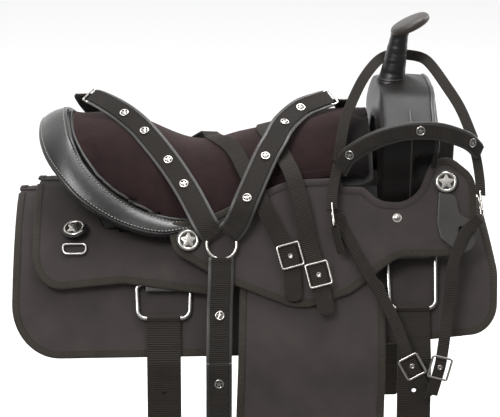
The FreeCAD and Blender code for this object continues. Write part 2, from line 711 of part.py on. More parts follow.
BROWBAND = [Vector(122, -133, 74), Vector(137, -146, 101), Vector(173, -158, 126), Vector(209, -166, 139),
            Vector(238, -168, 142), Vector(268, -164, 139), Vector(296, -156, 129), Vector(315, -146, 118),
            Vector(331, -130, 100)]
BROWBAND_FACES = [Vector(-0.6, -1, 0.1), Vector(-0.35, -1, 0.1), Vector(-0.2, -1, 0.1), Vector(-0.1, -1, 0.1),
                  Vector(0, -1, 0.1), Vector(0.1, -1, 0.1), Vector(0.3, -1, 0.1), Vector(0.6, -1, 0.1),
                  Vector(0.9, -1, 0.1)]
CROWN = [Vector(121, -126, 86), Vector(126, -110, 115), Vector(136, -80, 146), Vector(159, -30, 181),
         Vector(180, 10, 200), Vector(198, 38, 209), Vector(216, 44, 213), Vector(240, 44, 212),
         Vector(260, 36, 209), Vector(272, 13, 202), Vector(288, -35, 183), Vector(307, -80, 155), Vector(322, -120, 118)]
CHEEK_TOPS = {"rear": (109.5, 17.0), "front": (329.0, 31.5)}    # x and z of each top buckle
CHEEK_REAR = [side_at(121, 49, 13), side_at(123, 47, 2), side_at(128, 46, -10), side_at(143, 46, -36),
              side_at(161, 46, -66), side_at(178, STRAP_LAYER + 1, -92), side_at(198, STRAP_LAYER, -130),
              Vector(211, -255, -162), Vector(222, HANG_Y, -190), Vector(248, HANG_Y, -238)]
CHEEK_FRONT = [side_at(328, 52, 10), side_at(317, 50, 0), side_at(304, 48, -14), side_at(290, 46.5, -44),
               side_at(284, 45, -68), side_at(279, STRAP_LAYER, -105), side_at(274, STRAP_LAYER, -135),
               Vector(268, -256, -164), Vector(262, HANG_Y - 7, -190), Vector(251, HANG_Y - 7, -232)]


def collar_face(point):
    """The collar lies on the jockey but stands up, facing outwards, over the seat."""
    share = min(1.0, max(0.0, (point.z - 15) / 60))
    face = outward(point) * (1 - share) + Vector(0, -0.72, 0.69) * share
    crest = min(1.0, max(0.0, (point.z - 135) / 25))
    face = face * (1 - crest) + Vector(0, -0.4, 0.92) * crest
    face.normalize()
    return face


def ring_shape(radius, wire):
    return Part.makeTorus(radius, wire, Vector(0, 0, 0), Vector(0, 1, 0))


def along_at(points, i):
    way = points[min(i + 1, len(points) - 1)] - points[max(i - 1, 0)]
    way.normalize()
    return way


def conchos_on(points, spots, radius, lift):
    """Small conchos on the outer face of a strap; spots are index plus fraction."""
    made = []
    for spot in spots:
        i = int(spot)
        middle = points[i] + (points[i + 1] - points[i]) * (spot - i)
        way = points[i + 1] - points[i]
        way.normalize()
        face = collar_face(middle)
        across = way.cross(face)
        across.normalize()
        face = across.cross(way)
        made.append(stand(disc(radius, 1.8), middle + face * lift, way, face))
    return made


def build_collar():
    thick = 5.0
    rear = ribbon(COLLAR_REAR, COLLAR_WIDTH, thick, [collar_face(p) for p in COLLAR_REAR])
    front = ribbon(COLLAR_FRONT, COLLAR_WIDTH, thick, [collar_face(p) for p in COLLAR_FRONT])
    write("collar_straps", [rear, front])
    write("collar_ring", stand(ring_shape(COLLAR_RING_R, 2.75), COLLAR_RING, Vector(0, SIN, COS),
                               Vector(0, -COS, SIN)))
    write("collar_tugs", [ribbon(TUG_REAR, TUG_WIDTH, 2.5), ribbon(TUG_FRONT, TUG_WIDTH, 2.5)])
    write("collar_conchos", conchos_on(COLLAR_REAR, [2.2, 3.0, 4.0, 5.4], 6.8, thick / 2 + 0.3)
          + conchos_on(COLLAR_FRONT, [2.0, 3.0, 5.0, 6.0], 6.8, thick / 2 + 0.3))
    buckles = []
    for route, i in ((TUG_REAR, 14), (TUG_FRONT, 13)):
        spot = route[i] + outward(route[i]) * 3.7
        buckles.append(stand(frame_buckle(36, 38), spot, along_at(route, i), outward(route[i])))
        buckles.append(stand(disc(4.0, 2.0), spot - outward(route[i]) * 1.6, along_at(route, i),
                             outward(route[i])))
    write("tug_buckles", buckles)
    faces = [Vector(0, -COS, SIN)] * 4 + [Vector(0, -0.96, 0.2)] + [Vector(0, -1, 0)] * 2
    write("girth_strap", ribbon(GIRTH_STRAP, COLLAR_WIDTH, 4.0, faces))
    conchos = [stand(disc(6.8, 1.8), Vector(-61, HANG_Y - 2.1, z), Vector(0, 0, 1), Vector(0, -1, 0))
               for z in (-214.0, -286.0, -358.0)]
    top = side_at(-59, STRAP_LAYER + 4.1, -119)
    conchos.append(stand(disc(6.8, 1.8), top, Vector(0, SIN, COS), Vector(0, -COS, SIN)))
    write("girth_conchos", conchos)


def build_headstall():
    write("crown_strap", ribbon(CROWN, 16.0, 3.0, [Vector(0, -1, 0.25)] * len(CROWN)))
    write("browband", ribbon(BROWBAND, 25.0, 8.0, BROWBAND_FACES))
    studs = []
    for i, turn in ((1, -0.35), (4, 0.0), (7, 0.6)):
        face = Vector(turn, -1, 0.1)
        studs.append(stand(disc(6.8, 1.8), BROWBAND[i] + face * (4.6 / face.Length), along_at(BROWBAND, i), face))
    write("browband_conchos", studs)
    for name, route in (("rear", CHEEK_REAR), ("front", CHEEK_FRONT)):
        faces = [Vector(0, -COS, SIN)] * 7 + [Vector(0, -0.97, 0.2)] + [Vector(0, -1, 0)] * 2
        write("cheek_strap_" + name, ribbon(route, 17.0, 3.0, faces))
        spot = route[8] + Vector(0, -3.4, 0)
        way = along_at(route, 9)
        frame = stand(frame_buckle(32, 36), spot, way, Vector(0, -1, 0))
        stud = stand(disc(4.0, 2.0), spot + Vector(0, 1.6, 0), way, Vector(0, -1, 0))
        x, z = CHEEK_TOPS[name]
        top = stand(frame_buckle(30, 36), side_at(x, 60, z), Vector(-0.1, SIN, COS), Vector(1, 0, 0.1))
        write("cheek_buckle_" + name, [frame, stud, top])


os.makedirs("parts", exist_ok=True)
build_saddle()
build_collar()
build_headstall()
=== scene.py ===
"""Western saddle with its breast collar and headstall: the finished looks of every piece.

All sizes in the classes are millimetres; meshes are set in metres on the frame's axes.
"""

import json
import logging
import math
from collections.abc import Callable, Iterator, Sequence
from contextlib import contextmanager
from dataclasses import dataclass, field
from enum import Enum

import bpy
import numpy as np
from mathutils import Matrix, Vector, noise
from mathutils.bvhtree import BVHTree

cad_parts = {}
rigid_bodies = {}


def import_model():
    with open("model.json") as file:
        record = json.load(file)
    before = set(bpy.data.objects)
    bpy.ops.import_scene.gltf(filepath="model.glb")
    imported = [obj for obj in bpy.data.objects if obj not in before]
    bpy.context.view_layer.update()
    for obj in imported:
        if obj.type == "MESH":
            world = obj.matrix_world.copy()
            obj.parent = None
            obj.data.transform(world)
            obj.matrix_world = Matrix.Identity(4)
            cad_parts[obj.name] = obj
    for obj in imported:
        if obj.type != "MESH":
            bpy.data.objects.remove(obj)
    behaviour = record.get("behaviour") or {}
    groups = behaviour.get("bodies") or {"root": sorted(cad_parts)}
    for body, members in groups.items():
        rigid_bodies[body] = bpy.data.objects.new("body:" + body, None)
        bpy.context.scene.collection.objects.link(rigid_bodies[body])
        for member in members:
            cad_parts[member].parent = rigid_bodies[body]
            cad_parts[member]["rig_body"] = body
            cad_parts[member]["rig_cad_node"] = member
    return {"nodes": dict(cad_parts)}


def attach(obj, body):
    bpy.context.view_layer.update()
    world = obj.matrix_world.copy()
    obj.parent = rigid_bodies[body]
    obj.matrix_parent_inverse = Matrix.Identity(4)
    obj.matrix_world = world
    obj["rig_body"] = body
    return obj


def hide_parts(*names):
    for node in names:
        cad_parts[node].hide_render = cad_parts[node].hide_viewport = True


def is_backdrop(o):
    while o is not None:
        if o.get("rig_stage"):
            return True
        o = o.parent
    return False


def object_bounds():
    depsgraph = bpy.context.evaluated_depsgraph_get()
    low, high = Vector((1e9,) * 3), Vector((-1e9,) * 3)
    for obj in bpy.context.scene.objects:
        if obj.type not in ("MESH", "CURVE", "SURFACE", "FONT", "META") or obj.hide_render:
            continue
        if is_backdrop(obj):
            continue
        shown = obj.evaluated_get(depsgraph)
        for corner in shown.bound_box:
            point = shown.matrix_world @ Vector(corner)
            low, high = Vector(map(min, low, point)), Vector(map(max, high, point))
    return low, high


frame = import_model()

LOG = logging.getLogger("saddle")
MM = 0.001
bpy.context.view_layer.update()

LEAN = math.radians(28.0)
TURN = math.pi / 2 - LEAN
SIN = math.sin(LEAN)
COS = math.cos(LEAN)
BACK_R = 200.0
FLANK = np.array([0.0, -COS, SIN])
Points = np.ndarray


class Side(Enum):
    """The two sides of the horse, with the sign of Y on each."""

    RIGHT = -1
    LEFT = 1

    @property
    def word(self) -> str:
        """The side's name as the bodies have it."""
        return self.name.lower()


# ---- finishes ---------------------------------------------------------------


class Graph:
    """A material's nodes, made and joined in few words."""

    def __init__(self, name: str) -> None:
        """Start a material with its principled shader."""
        self.material = bpy.data.materials.new(name)
        self.material.use_nodes = True
        self.tree = self.material.node_tree
        self.shader = self.tree.nodes["Principled BSDF"]

    def add(self, kind: str, sockets: dict | None = None, **settings: object) -> bpy.types.Node:
        """Add a node.

        Args:
            kind: the node's type name without its ShaderNode prefix.
            sockets: values or output sockets for its inputs.
            settings: the node's own properties.

        Returns:
            The new node.
        """
        node = self.tree.nodes.new("ShaderNode" + kind)
        for key, value in settings.items():
            setattr(node, key, value)
        for key, value in (sockets or {}).items():
            self.put(node.inputs[key], value)
        return node

    def put(self, socket: bpy.types.NodeSocket, value: object) -> None:
        """Set a socket to a value, or join an output to it."""
        if isinstance(value, bpy.types.NodeSocket):
            self.tree.links.new(value, socket)
        else:
            socket.default_value = value

    def set(self, **sockets: object) -> None:
        """Set the shader's own sockets, named with _ for each space."""
        for key, value in sockets.items():
            self.put(self.shader.inputs[key.replace("_", " ")], value)

    def where(self, surface: bool) -> bpy.types.NodeSocket:
        """Metres on the piece's own surface map, or in the frame."""
        node = self.add("TexCoord")
        return node.outputs["UV" if surface else "Object"]

    def noise(self, at: bpy.types.NodeSocket, per_metre: float, detail: float = 3.0) -> bpy.types.NodeSocket:
        """Cloudy noise from 0 to 1."""
        return self.add("TexNoise", {"Vector": at, "Scale": per_metre, "Detail": detail}).outputs["Fac"]

    def ramp(self, factor: bpy.types.NodeSocket, stops: Sequence[tuple]) -> bpy.types.NodeSocket:
        """Colour between stops, each a place and a colour."""
        node = self.add("ValToRGB", {"Fac": factor})
        elements = node.color_ramp.elements
        while len(elements) < len(stops):
            elements.new(0.5)
        for element, (place, colour) in zip(elements, stops):
            element.position = place
            element.color = (*colour, 1.0)
        return node.outputs["Color"]

    def math(self, operation: str, a: object, b: object = 0.0) -> bpy.types.NodeSocket:
        """One sum on two values."""
        return self.add("Math", {0: a, 1: b}, operation=operation).outputs[0]

    def wave(self, at: bpy.types.NodeSocket, pitch: float, axis: str,
             turn: float = 0.0) -> bpy.types.NodeSocket:
        """Ribs of one pitch in metres across an axis, turned in the surface."""
        if turn:
            at = self.add("Mapping", {"Vector": at, "Rotation": (0.0, 0.0, turn)}).outputs[0]
        node = self.add("TexWave", {"Vector": at, "Scale": math.pi / (10.0 * pitch), "Distortion": 0.0},
                        bands_direction=axis, wave_profile="SIN")
        return node.outputs["Fac"]

    def bumps(self, *layers: tuple[bpy.types.NodeSocket, float]) -> None:
        """Raise the surface by layers of a height and its depth in metres."""
        normal = None
        for height, depth in layers:
            sockets = {"Height": height, "Strength": 1.0, "Distance": depth}
            if normal is not None:
                sockets["Normal"] = normal
            normal = self.add("Bump", sockets).outputs["Normal"]
        self.put(self.shader.inputs["Normal"], normal)


Colour = tuple[float, float, float]


def shade(colour: Colour, amount: float) -> Colour:
    """A colour made lighter or darker by a factor."""
    return tuple(min(1.0, c * amount) for c in colour)


@dataclass(frozen=True)
class Woven:
    """Cloth or webbing: crossing yarns, soft mottling and a slight sheen; ribbed kinds get painted shade in
    their rib furrows and painted highlight on the rib crests.
    """

    name: str
    colour: Colour
    pitch: float
    rough: float = 0.82
    sheen: float = 0.12
    depth: float = 0.00022
    turn: float = 0.0
    ribs: float = 0.0
    # how far the rib furrows are darkened and the rib crests lightened: painted shade and painted highlight
    furrow: float = 0.3
    gloss: float = 0.35

    def make(self) -> bpy.types.Material:
        """Build the material."""
        g = Graph(self.name)
        at = g.where(True)
        warp = g.wave(at, self.pitch, "X", self.turn)
        weft = g.wave(at, self.pitch * 1.1, "Y", self.turn)
        weave = g.math("MULTIPLY", warp, weft)
        mottle = g.noise(g.where(False), 26.0, 4.0)
        fleck = g.noise(g.where(False), 900.0, 2.0)
        fine = g.math("MULTIPLY", g.math("ADD", weave, fleck), 0.2)
        tone = g.math("ADD", g.math("MULTIPLY", mottle, 0.6), fine)
        g.set(Roughness=g.add("MapRange", {"Value": mottle, "To Min": self.rough - 0.06,
                                           "To Max": self.rough + 0.06}).outputs[0],
              Sheen_Weight=self.sheen, Sheen_Roughness=0.5, Specular_IOR_Level=self.gloss)
        layers = [(weave, self.depth), (fleck, self.depth * 0.5)]
        if self.ribs:
            rib = g.wave(at, self.ribs, "X")
            layers.append((rib, self.depth * 1.6))
            # Painted shade in the rib furrows and painted highlight on the rib crests, following the ribs'
            # bump
            rib_shade_factor = g.add("MapRange", {"Value": rib, "To Min": 1.0 - self.furrow, "To Max": 1.0 + self.furrow})
            tone = g.math("MULTIPLY", tone, rib_shade_factor.outputs[0])
        g.set(Base_Color=g.ramp(tone, [(0.2, shade(self.colour, 0.55)), (0.75, shade(self.colour, 1.35))]))
        g.bumps(*layers)
        return g.material


@dataclass(frozen=True)
class Leather:
    """Finished leather: fine pores, creases, an uneven gloss, and convex edges painted lighter, partly as
    wear and partly as painted highlight.
    """

    name: str
    colour: Colour
    rough: float = 0.36
    coat: float = 0.25
    grain: float = 1500.0
    depth: float = 0.00012
    # how much lighter convex edges are painted: partly wear, partly painted highlight
    wear: float = 1.5
    gloss: float = 0.45

    def make(self) -> bpy.types.Material:
        """Build the material."""
        g = Graph(self.name)
        at = g.where(False)
        pores = g.add("TexVoronoi", {"Vector": at, "Scale": self.grain},
                      feature="DISTANCE_TO_EDGE").outputs[0]
        cloud = g.noise(at, 16.0, 5.0)
        crease = g.noise(at, 130.0, 3.0)
        # Convex edges, found by pointiness, are painted lighter: partly edge wear, partly painted highlight
        rim = g.add("NewGeometry").outputs["Pointiness"]
        edge_wear_and_highlight_mask = g.add("MapRange", {"Value": rim, "From Min": 0.5, "From Max": 0.62}).outputs[0]
        tone = g.math("ADD", g.math("MULTIPLY", cloud, 0.7), g.math("MULTIPLY", crease, 0.3))
        base = g.ramp(tone, [(0.3, shade(self.colour, 0.8)), (0.72, shade(self.colour, 1.25))])
        mixed = g.add("Mix", {0: edge_wear_and_highlight_mask, 6: base, 7: (*shade(self.colour, self.wear), 1.0)}, data_type="RGBA")
        rough = g.add("MapRange", {"Value": cloud, "From Min": 0.25, "From Max": 0.75,
                                   "To Min": self.rough - 0.07, "To Max": self.rough + 0.1})
        g.set(Base_Color=mixed.outputs[2], Roughness=rough.outputs[0], Coat_Weight=self.coat,
              Coat_Roughness=0.3, Specular_IOR_Level=self.gloss)
        g.bumps((pores, self.depth), (crease, self.depth * 2.5))
        return g.material


@dataclass(frozen=True)
class Suede:
    """Brushed suede: a soft nap that lies in lighter and darker patches."""

    name: str
    colour: Colour

    def make(self) -> bpy.types.Material:
        """Build the material."""
        g = Graph(self.name)
        at = g.where(False)
        nap = g.noise(at, 42.0, 6.0)
        broad = g.noise(at, 9.0, 3.0)
        fibre = g.noise(at, 1700.0, 2.0)
        tone = g.math("ADD", g.math("MULTIPLY", nap, 0.5),
                      g.math("ADD", g.math("MULTIPLY", broad, 0.35), g.math("MULTIPLY", fibre, 0.15)))
        g.set(Base_Color=g.ramp(tone, [(0.3, shade(self.colour, 0.66)), (0.7, shade(self.colour, 1.32))]),
              Roughness=0.95, Sheen_Weight=0.2, Sheen_Roughness=0.42,
              Sheen_Tint=(0.62, 0.48, 0.48, 1.0), Specular_IOR_Level=0.15)
        g.bumps((fibre, 0.00035), (nap, 0.0006))
        return g.material


@dataclass(frozen=True)
class Metal:
    """Plated metal: bright, with faint scratches and small stains."""

    name: str
    colour: Colour
    rough: float

    def make(self) -> bpy.types.Material:
        """Build the material."""
        g = Graph(self.name)
        at = g.where(False)
        stain = g.noise(at, 70.0, 4.0)
        drag = g.add("Mapping", {"Vector": at, "Scale": (1.0, 1.0, 9.0)}).outputs[0]
        scratch = g.noise(drag, 420.0, 2.0)
        g.set(Metallic=1.0, Base_Color=g.ramp(stain, [(0.3, shade(self.colour, 0.86)), (0.7, self.colour)]),
              Roughness=g.add("MapRange", {"Value": scratch, "From Min": 0.3, "From Max": 0.7,
                                           "To Min": self.rough, "To Max": self.rough + 0.12}).outputs[0])
        g.bumps((scratch, 0.00002))
        return g.material


@dataclass(frozen=True)
class Plain:
    """Wood, rubber, wool or thread: two tones along a stretched noise."""

    name: str
    colour: Colour
    rough: float
    stretch: tuple[float, float, float] = (1.0, 1.0, 1.0)
    per_metre: float = 200.0
    depth: float = 0.0002
    sheen: float = 0.0

    def make(self) -> bpy.types.Material:
        """Build the material."""
        g = Graph(self.name)
        at = g.add("Mapping", {"Vector": g.where(False), "Scale": self.stretch}).outputs[0]
        grain = g.noise(at, self.per_metre, 4.0)
        g.set(Base_Color=g.ramp(grain, [(0.3, shade(self.colour, 0.65)), (0.7, shade(self.colour, 1.2))]),
              Roughness=self.rough, Sheen_Weight=self.sheen)
        g.bumps((grain, self.depth))
        return g.material


FINISHES = (
    Woven("cordura", (0.0365, 0.0290, 0.0275), 0.0011, sheen=0.06),
    # Ribbed tape and webbing carry painted shade in their rib furrows and painted highlight on their crests
    Woven("edge_tape", (0.0290, 0.0232, 0.0172), 0.0014, sheen=0.06, depth=0.0003, ribs=0.0024),
    Woven("webbing", (0.0172, 0.0134, 0.0100), 0.0012, 0.74, sheen=0.04, depth=0.0002, ribs=0.0034,
          furrow=0.75, gloss=0.28),
    Woven("collar_nylon", (0.0168, 0.0134, 0.0106), 0.0013, 0.74, sheen=0.04, depth=0.0002, ribs=0.0030,
          furrow=0.6, gloss=0.28),
    Suede("suede", (0.0165, 0.0082, 0.0086)),
    Suede("dark_suede", (0.0055, 0.0045, 0.0045)),
    Leather("roll_leather", (0.0085, 0.0080, 0.0078), 0.24, 0.35),
    Leather("smooth_leather", (0.0085, 0.0074, 0.0070), 0.34, 0.2),
    # The fork's rounded edges are painted lighter than other leathers': a painted highlight on top of the
    # wear
    Leather("fork_leather", (0.0062, 0.0052, 0.0048), 0.36, 0.0, wear=2.2, gloss=0.24),
    Leather("strap_leather", (0.020, 0.0182, 0.0165), 0.4, 0.15),
    Leather("horn_leather", (0.034, 0.0285, 0.0245), 0.42, 0.12, depth=0.0002),
    Leather("rosette_leather", (0.008, 0.0068, 0.0062), 0.46, 0.1),
    Metal("nickel", (0.62, 0.59, 0.55), 0.13),
    Metal("steel", (0.70, 0.68, 0.66), 0.18),
    Plain("concho_dark", (0.006, 0.005, 0.004), 0.5),
    Plain("thread", (0.010, 0.0085, 0.007), 0.7, per_metre=1500.0),
    Plain("pale_thread", (0.30, 0.28, 0.26), 0.6, per_metre=1500.0),
    Plain("fleece", (0.62, 0.58, 0.50), 0.95, per_metre=160.0, depth=0.002, sheen=0.4),
    Plain("tree_wood", (0.010, 0.008, 0.007), 0.6, (1.0, 12.0, 12.0), 16.0, 0.0004),
    Plain("ground_board", (0.014, 0.012, 0.011), 0.7, per_metre=90.0),
    Plain("tread_rubber", (0.016, 0.015, 0.014), 0.75, per_metre=350.0, depth=0.0004),
)
MATERIALS = {finish.name: finish.make() for finish in FINISHES}


# ---- mesh work --------------------------------------------------------------


def deselect() -> None:
    """Leave edit mode and deselect everything."""
    if bpy.context.object and bpy.context.object.mode != "OBJECT":
        bpy.ops.object.mode_set(mode="OBJECT")
    bpy.ops.object.select_all(action="DESELECT")


def only(piece: bpy.types.Object) -> None:
    """Select one object and make it active."""
    deselect()
    piece.select_set(True)
    bpy.context.view_layer.objects.active = piece


@contextmanager
def editing(piece: bpy.types.Object) -> Iterator[None]:
    """Edit mode on one piece with all of it selected, then object mode again."""
    only(piece)
    bpy.ops.object.mode_set(mode="EDIT")
    bpy.ops.mesh.select_all(action="SELECT")
    yield
    bpy.ops.object.mode_set(mode="OBJECT")


def coords(piece: bpy.types.Object) -> Points:
    """Vertex places in millimetres."""
    flat = np.empty(len(piece.data.vertices) * 3)
    piece.data.vertices.foreach_get("co", flat)
    return flat.reshape(-1, 3) / MM


def set_coords(piece: bpy.types.Object, places: Points) -> None:
    """Move each vertex to its place in millimetres."""
    piece.data.vertices.foreach_set("co", (np.asarray(places, float) * MM).ravel())
    piece.data.update()


def set_surface_map(piece: bpy.types.Object, places: Points) -> None:
    """Lay the piece's map out in metres from a pair of millimetres for each vertex."""
    layer = piece.data.uv_layers.active or piece.data.uv_layers.new(name="UVMap")
    index = np.empty(len(piece.data.loops), int)
    piece.data.loops.foreach_get("vertex_index", index)
    layer.data.foreach_set("uv", (places[index] * MM).astype(np.float32).ravel())


def tidy(piece: bpy.types.Object, angle: float = 40.0, fill: bool = True,
         merge: float = 0.00002) -> bpy.types.Object:
    """Merge doubles, close holes, turn the faces outwards and smooth the shading."""
    with editing(piece):
        bpy.ops.mesh.remove_doubles(threshold=merge)
        if fill:
            bpy.ops.mesh.fill_holes(sides=0)
        bpy.ops.mesh.normals_make_consistent(inside=False)
    bpy.ops.object.shade_smooth_by_angle(angle=math.radians(angle))
    return piece


def modify(piece: bpy.types.Object, kind: str, **settings: object) -> None:
    """Add a modifier and apply it."""
    only(piece)
    modifier = piece.modifiers.new(kind.title(), kind)
    for key, value in settings.items():
        setattr(modifier, key, value)
    bpy.ops.object.modifier_apply(modifier=modifier.name)


def grid(name: str, columns: int, rows: int) -> tuple[bpy.types.Object, Points, Points]:
    """A grid of faces, with each vertex's column and row."""
    deselect()
    bpy.ops.mesh.primitive_grid_add(x_subdivisions=columns, y_subdivisions=rows, size=2.0, calc_uvs=True)
    piece = bpy.context.object
    piece.name = piece.data.name = name
    places = coords(piece) * MM
    column = np.rint((places[:, 0] + 1) / 2 * columns).astype(int)
    row = np.rint((places[:, 1] + 1) / 2 * rows).astype(int)
    return piece, column, row


def lengths(path: Points) -> Points:
    """Distance along a path at each of its points."""
    steps = np.linalg.norm(np.diff(path, axis=0), axis=1)
    return np.concatenate([[0.0], np.cumsum(steps)])


def loft(name: str, rings: Points, loop: bool = False, shut: bool = True, angle: float = 40.0,
         slide: Points | float = 0.0) -> bpy.types.Object:
    """A skin over rings of points.

    Args:
        name: the piece's name.
        rings: stations by ring points by three, in millimetres.
        loop: the last ring joins the first.
        shut: each ring closes on itself; the ends are then filled.
        angle: edges sharper than this, in degrees, stay crisp.
        slide: how far each ring point's place along the map is moved on.

    Returns:
        The piece, its map in metres along and across it.
    """
    if shut:
        rings = np.concatenate([rings, rings[:, :1]], axis=1)
    if loop:
        rings = np.concatenate([rings, rings[:1]], axis=0)
    count, around = rings.shape[:2]
    piece, i, j = grid(name, count - 1, around - 1)
    set_coords(piece, rings[i, j])
    along = lengths(rings.mean(axis=1))
    across = lengths(rings[count // 2])
    slide = np.append(slide, np.ravel(slide)[0]) if np.ndim(slide) else np.zeros(around)
    set_surface_map(piece, np.stack([along[i] + slide[j], across[j]], axis=1))
    return tidy(piece, angle, fill=shut and not loop)


def frames(path: Points, faces: Points, loop: bool = False) -> tuple[Points, Points]:
    """Directions across a path and out of its face."""
    if loop:
        way = np.roll(path, -1, 0) - np.roll(path, 1, 0)
    else:
        way = np.gradient(path, axis=0)
    way /= np.linalg.norm(way, axis=1)[:, None]
    across = np.cross(way, faces)
    across /= np.linalg.norm(across, axis=1)[:, None]
    return across, np.cross(across, way)


def oval(width: float, thick: float, power: float = 4.0, count: int = 20) -> Points:
    """A strap's section: flatter and squarer as power grows."""
    t = (np.arange(count) + 0.5) / count * 2 * math.pi
    c, s = np.cos(t), np.sin(t)
    return np.stack([width / 2 * np.sign(c) * np.abs(c) ** (2 / power),
                     thick / 2 * np.sign(s) * np.abs(s) ** (2 / power)], axis=1)


def circle(count: int) -> Points:
    """A unit circle of evenly spaced points in X and Y."""
    t = np.linspace(0, 2 * math.pi, count + 1)[:-1]
    return np.stack([np.cos(t), np.sin(t), np.zeros_like(t)], axis=1)


def sweep(name: str, path: Points, faces: Points, section: Points, loop: bool = False,
          wide: Points | float = 1.0, high: Points | float = 1.0, lift: Points | float = 0.0,
          ribs: tuple[float, float, float] | None = None, angle: float = 40.0) -> bpy.types.Object:
    """Carry a section along a path.

    Args:
        name: the piece's name.
        path: points of the path.
        faces: the way the section's face looks at each point.
        section: pairs across and out of the face.
        loop: the path is closed.
        wide: factor on the width at each point.
        high: factor on the height at each point.
        lift: millimetres out of the face at each point.
        ribs: pitch and depth of ribs over its face, and their slant across it.
        angle: edges sharper than this stay crisp.

    Returns:
        The piece.
    """
    across, out = frames(path, faces, loop)
    ones = np.ones(len(path))
    a = section[None, :, 0] * (ones * wide)[:, None]
    h = section[None, :, 1] * (ones * high)[:, None] + (ones * lift)[:, None]
    if ribs:
        pitch, depth, slant = ribs
        crest = -np.cos((lengths(path)[:, None] + a * slant) * 2 * math.pi / pitch) * depth / 2
        h = h + crest * (section[None, :, 1] > section[:, 1].max() - 0.01)
    rings = path[:, None] + across[:, None] * a[..., None] + out[:, None] * h[..., None]
    return loft(name, rings, loop, angle=angle, slide=section[:, 0] * ribs[2] if ribs else 0.0)


def slab(width: float, thick: float, rise: float = 0.0, step: float = 1.0) -> Points:
    """A flat strap's section with many points over its face, rise above the strap's middle."""
    edge = width / 2
    over = np.linspace(edge - 0.5, 0.5 - edge, max(2, int(width / step)))
    top = np.stack([over, np.full_like(over, thick / 2)], axis=1)
    rest = [(-edge, thick / 2 - 0.5), (-edge, 0.5 - thick / 2), (0.5 - edge, -thick / 2),
            (edge - 0.5, -thick / 2), (edge, 0.5 - thick / 2), (edge, thick / 2 - 0.5)]
    return np.vstack([top, rest]) + np.array([0.0, rise])


def through(points: Sequence, step: float) -> Points:
    """A smooth path through points, even steps apart; extra columns are carried along."""
    p = np.array(points, float)
    p = np.vstack([2 * p[0] - p[1], p, 2 * p[-1] - p[-2]])
    out = []
    for k in range(1, len(p) - 2):
        t = np.linspace(0, 1, 12, endpoint=False)[:, None]
        out.append(0.5 * (2 * p[k] + (p[k + 1] - p[k - 1]) * t
                          + (2 * p[k - 1] - 5 * p[k] + 4 * p[k + 1] - p[k + 2]) * t ** 2
                          + (3 * p[k] - p[k - 1] - 3 * p[k + 1] + p[k + 2]) * t ** 3))
    out = np.vstack([*out, p[-2:-1]])
    return evenly(out, step)


def evenly(path: Points, step: float) -> Points:
    """The same path with its points evenly spaced."""
    at = lengths(path[:, :3])
    want = np.linspace(0, at[-1], max(2, int(round(at[-1] / step)) + 1))
    return np.stack([np.interp(want, at, path[:, c]) for c in range(path.shape[1])], axis=1)


def outward(points: Points) -> Points:
    """Direction away from the middle of the horse at each point."""
    away = points * np.array([0.0, 1.0, 1.0]) + np.array([0.0, 0.0, 80.0])
    return away / np.linalg.norm(away, axis=-1, keepdims=True)


def wear_finish(piece: bpy.types.Object, *names: str) -> bpy.types.Object:
    """Give a piece its materials."""
    piece.data.materials.clear()
    for name in names:
        piece.data.materials.append(MATERIALS[name])
    return piece


def give(piece: bpy.types.Object, body: str, finish: str, nodes: Sequence[str] = ()) -> bpy.types.Object:
    """Finish a piece and hang it on its body.

    Args:
        piece: the piece.
        body: the body that it rides on.
        finish: its material.
        nodes: frame nodes that it stands for.

    Returns:
        The piece.
    """
    if not len(piece.data.materials):
        wear_finish(piece, finish)
    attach(piece, body)
    if nodes:
        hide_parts(*nodes)
    return piece


def mirrored(piece: bpy.types.Object, name: str) -> bpy.types.Object:
    """A copy of a right-hand piece for the left side, with its own mesh."""
    only(piece)
    bpy.ops.object.duplicate()
    twin = bpy.context.object
    twin.name = twin.data.name = name
    set_coords(twin, coords(twin) * np.array([1.0, -1.0, 1.0]))
    with editing(twin):
        bpy.ops.mesh.flip_normals()
    return twin


def give_both(piece: bpy.types.Object, bodies: Callable[["Side"], str], finish: str,
              nodes: Callable[["Side"], Sequence[str]] = lambda side: ()) -> bpy.types.Object:
    """Finish a right-hand piece and its mirrored twin, each on its own side's body.

    Args:
        piece: the right-hand piece, its name ending in or holding "right".
        bodies: gives the body of a side.
        finish: the material.
        nodes: gives the frame nodes that a side's piece stands for.

    Returns:
        The left-hand twin.
    """
    if not len(piece.data.materials):
        wear_finish(piece, finish)
    twin = mirrored(piece, piece.name.replace("right", "left"))
    for side, each in ((Side.RIGHT, piece), (Side.LEFT, twin)):
        give(each, bodies(side), finish, nodes(side))
    return twin


def merged_copy(nodes: Sequence[str], name: str) -> bpy.types.Object:
    """One mesh copied from frame nodes, its loose triangles joined up."""
    deselect()
    copies = []
    for node in nodes:
        source = frame["nodes"][node]
        twin = bpy.data.objects.new(name, source.data.copy())
        bpy.context.scene.collection.objects.link(twin)
        twin.select_set(True)
        copies.append(twin)
    bpy.context.view_layer.objects.active = copies[0]
    if len(copies) > 1:
        bpy.ops.object.join()
    piece = bpy.context.view_layer.objects.active
    piece.name = piece.data.name = name
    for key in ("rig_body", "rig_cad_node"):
        if key in piece:
            del piece[key]
    piece.data.materials.clear()
    with editing(piece):
        bpy.ops.mesh.remove_doubles(threshold=0.00001)
    return piece


def softened(nodes: Sequence[str], name: str, voxel: float, rounds: int) -> bpy.types.Object:
    """A copy of frame nodes with its edges rounded off.

    Args:
        nodes: the frame nodes, fused into one.
        name: the new piece's name.
        voxel: size of the new mesh's cells, in millimetres.
        rounds: how often it is smoothed.

    Returns:
        The piece.
    """
    piece = merged_copy(nodes, name)
    modify(piece, "REMESH", mode="VOXEL", voxel_size=voxel * MM, use_smooth_shade=True)
    if rounds:
        modify(piece, "SMOOTH", factor=0.5, iterations=rounds)
    only(piece)
    bpy.ops.object.shade_smooth()
    return piece


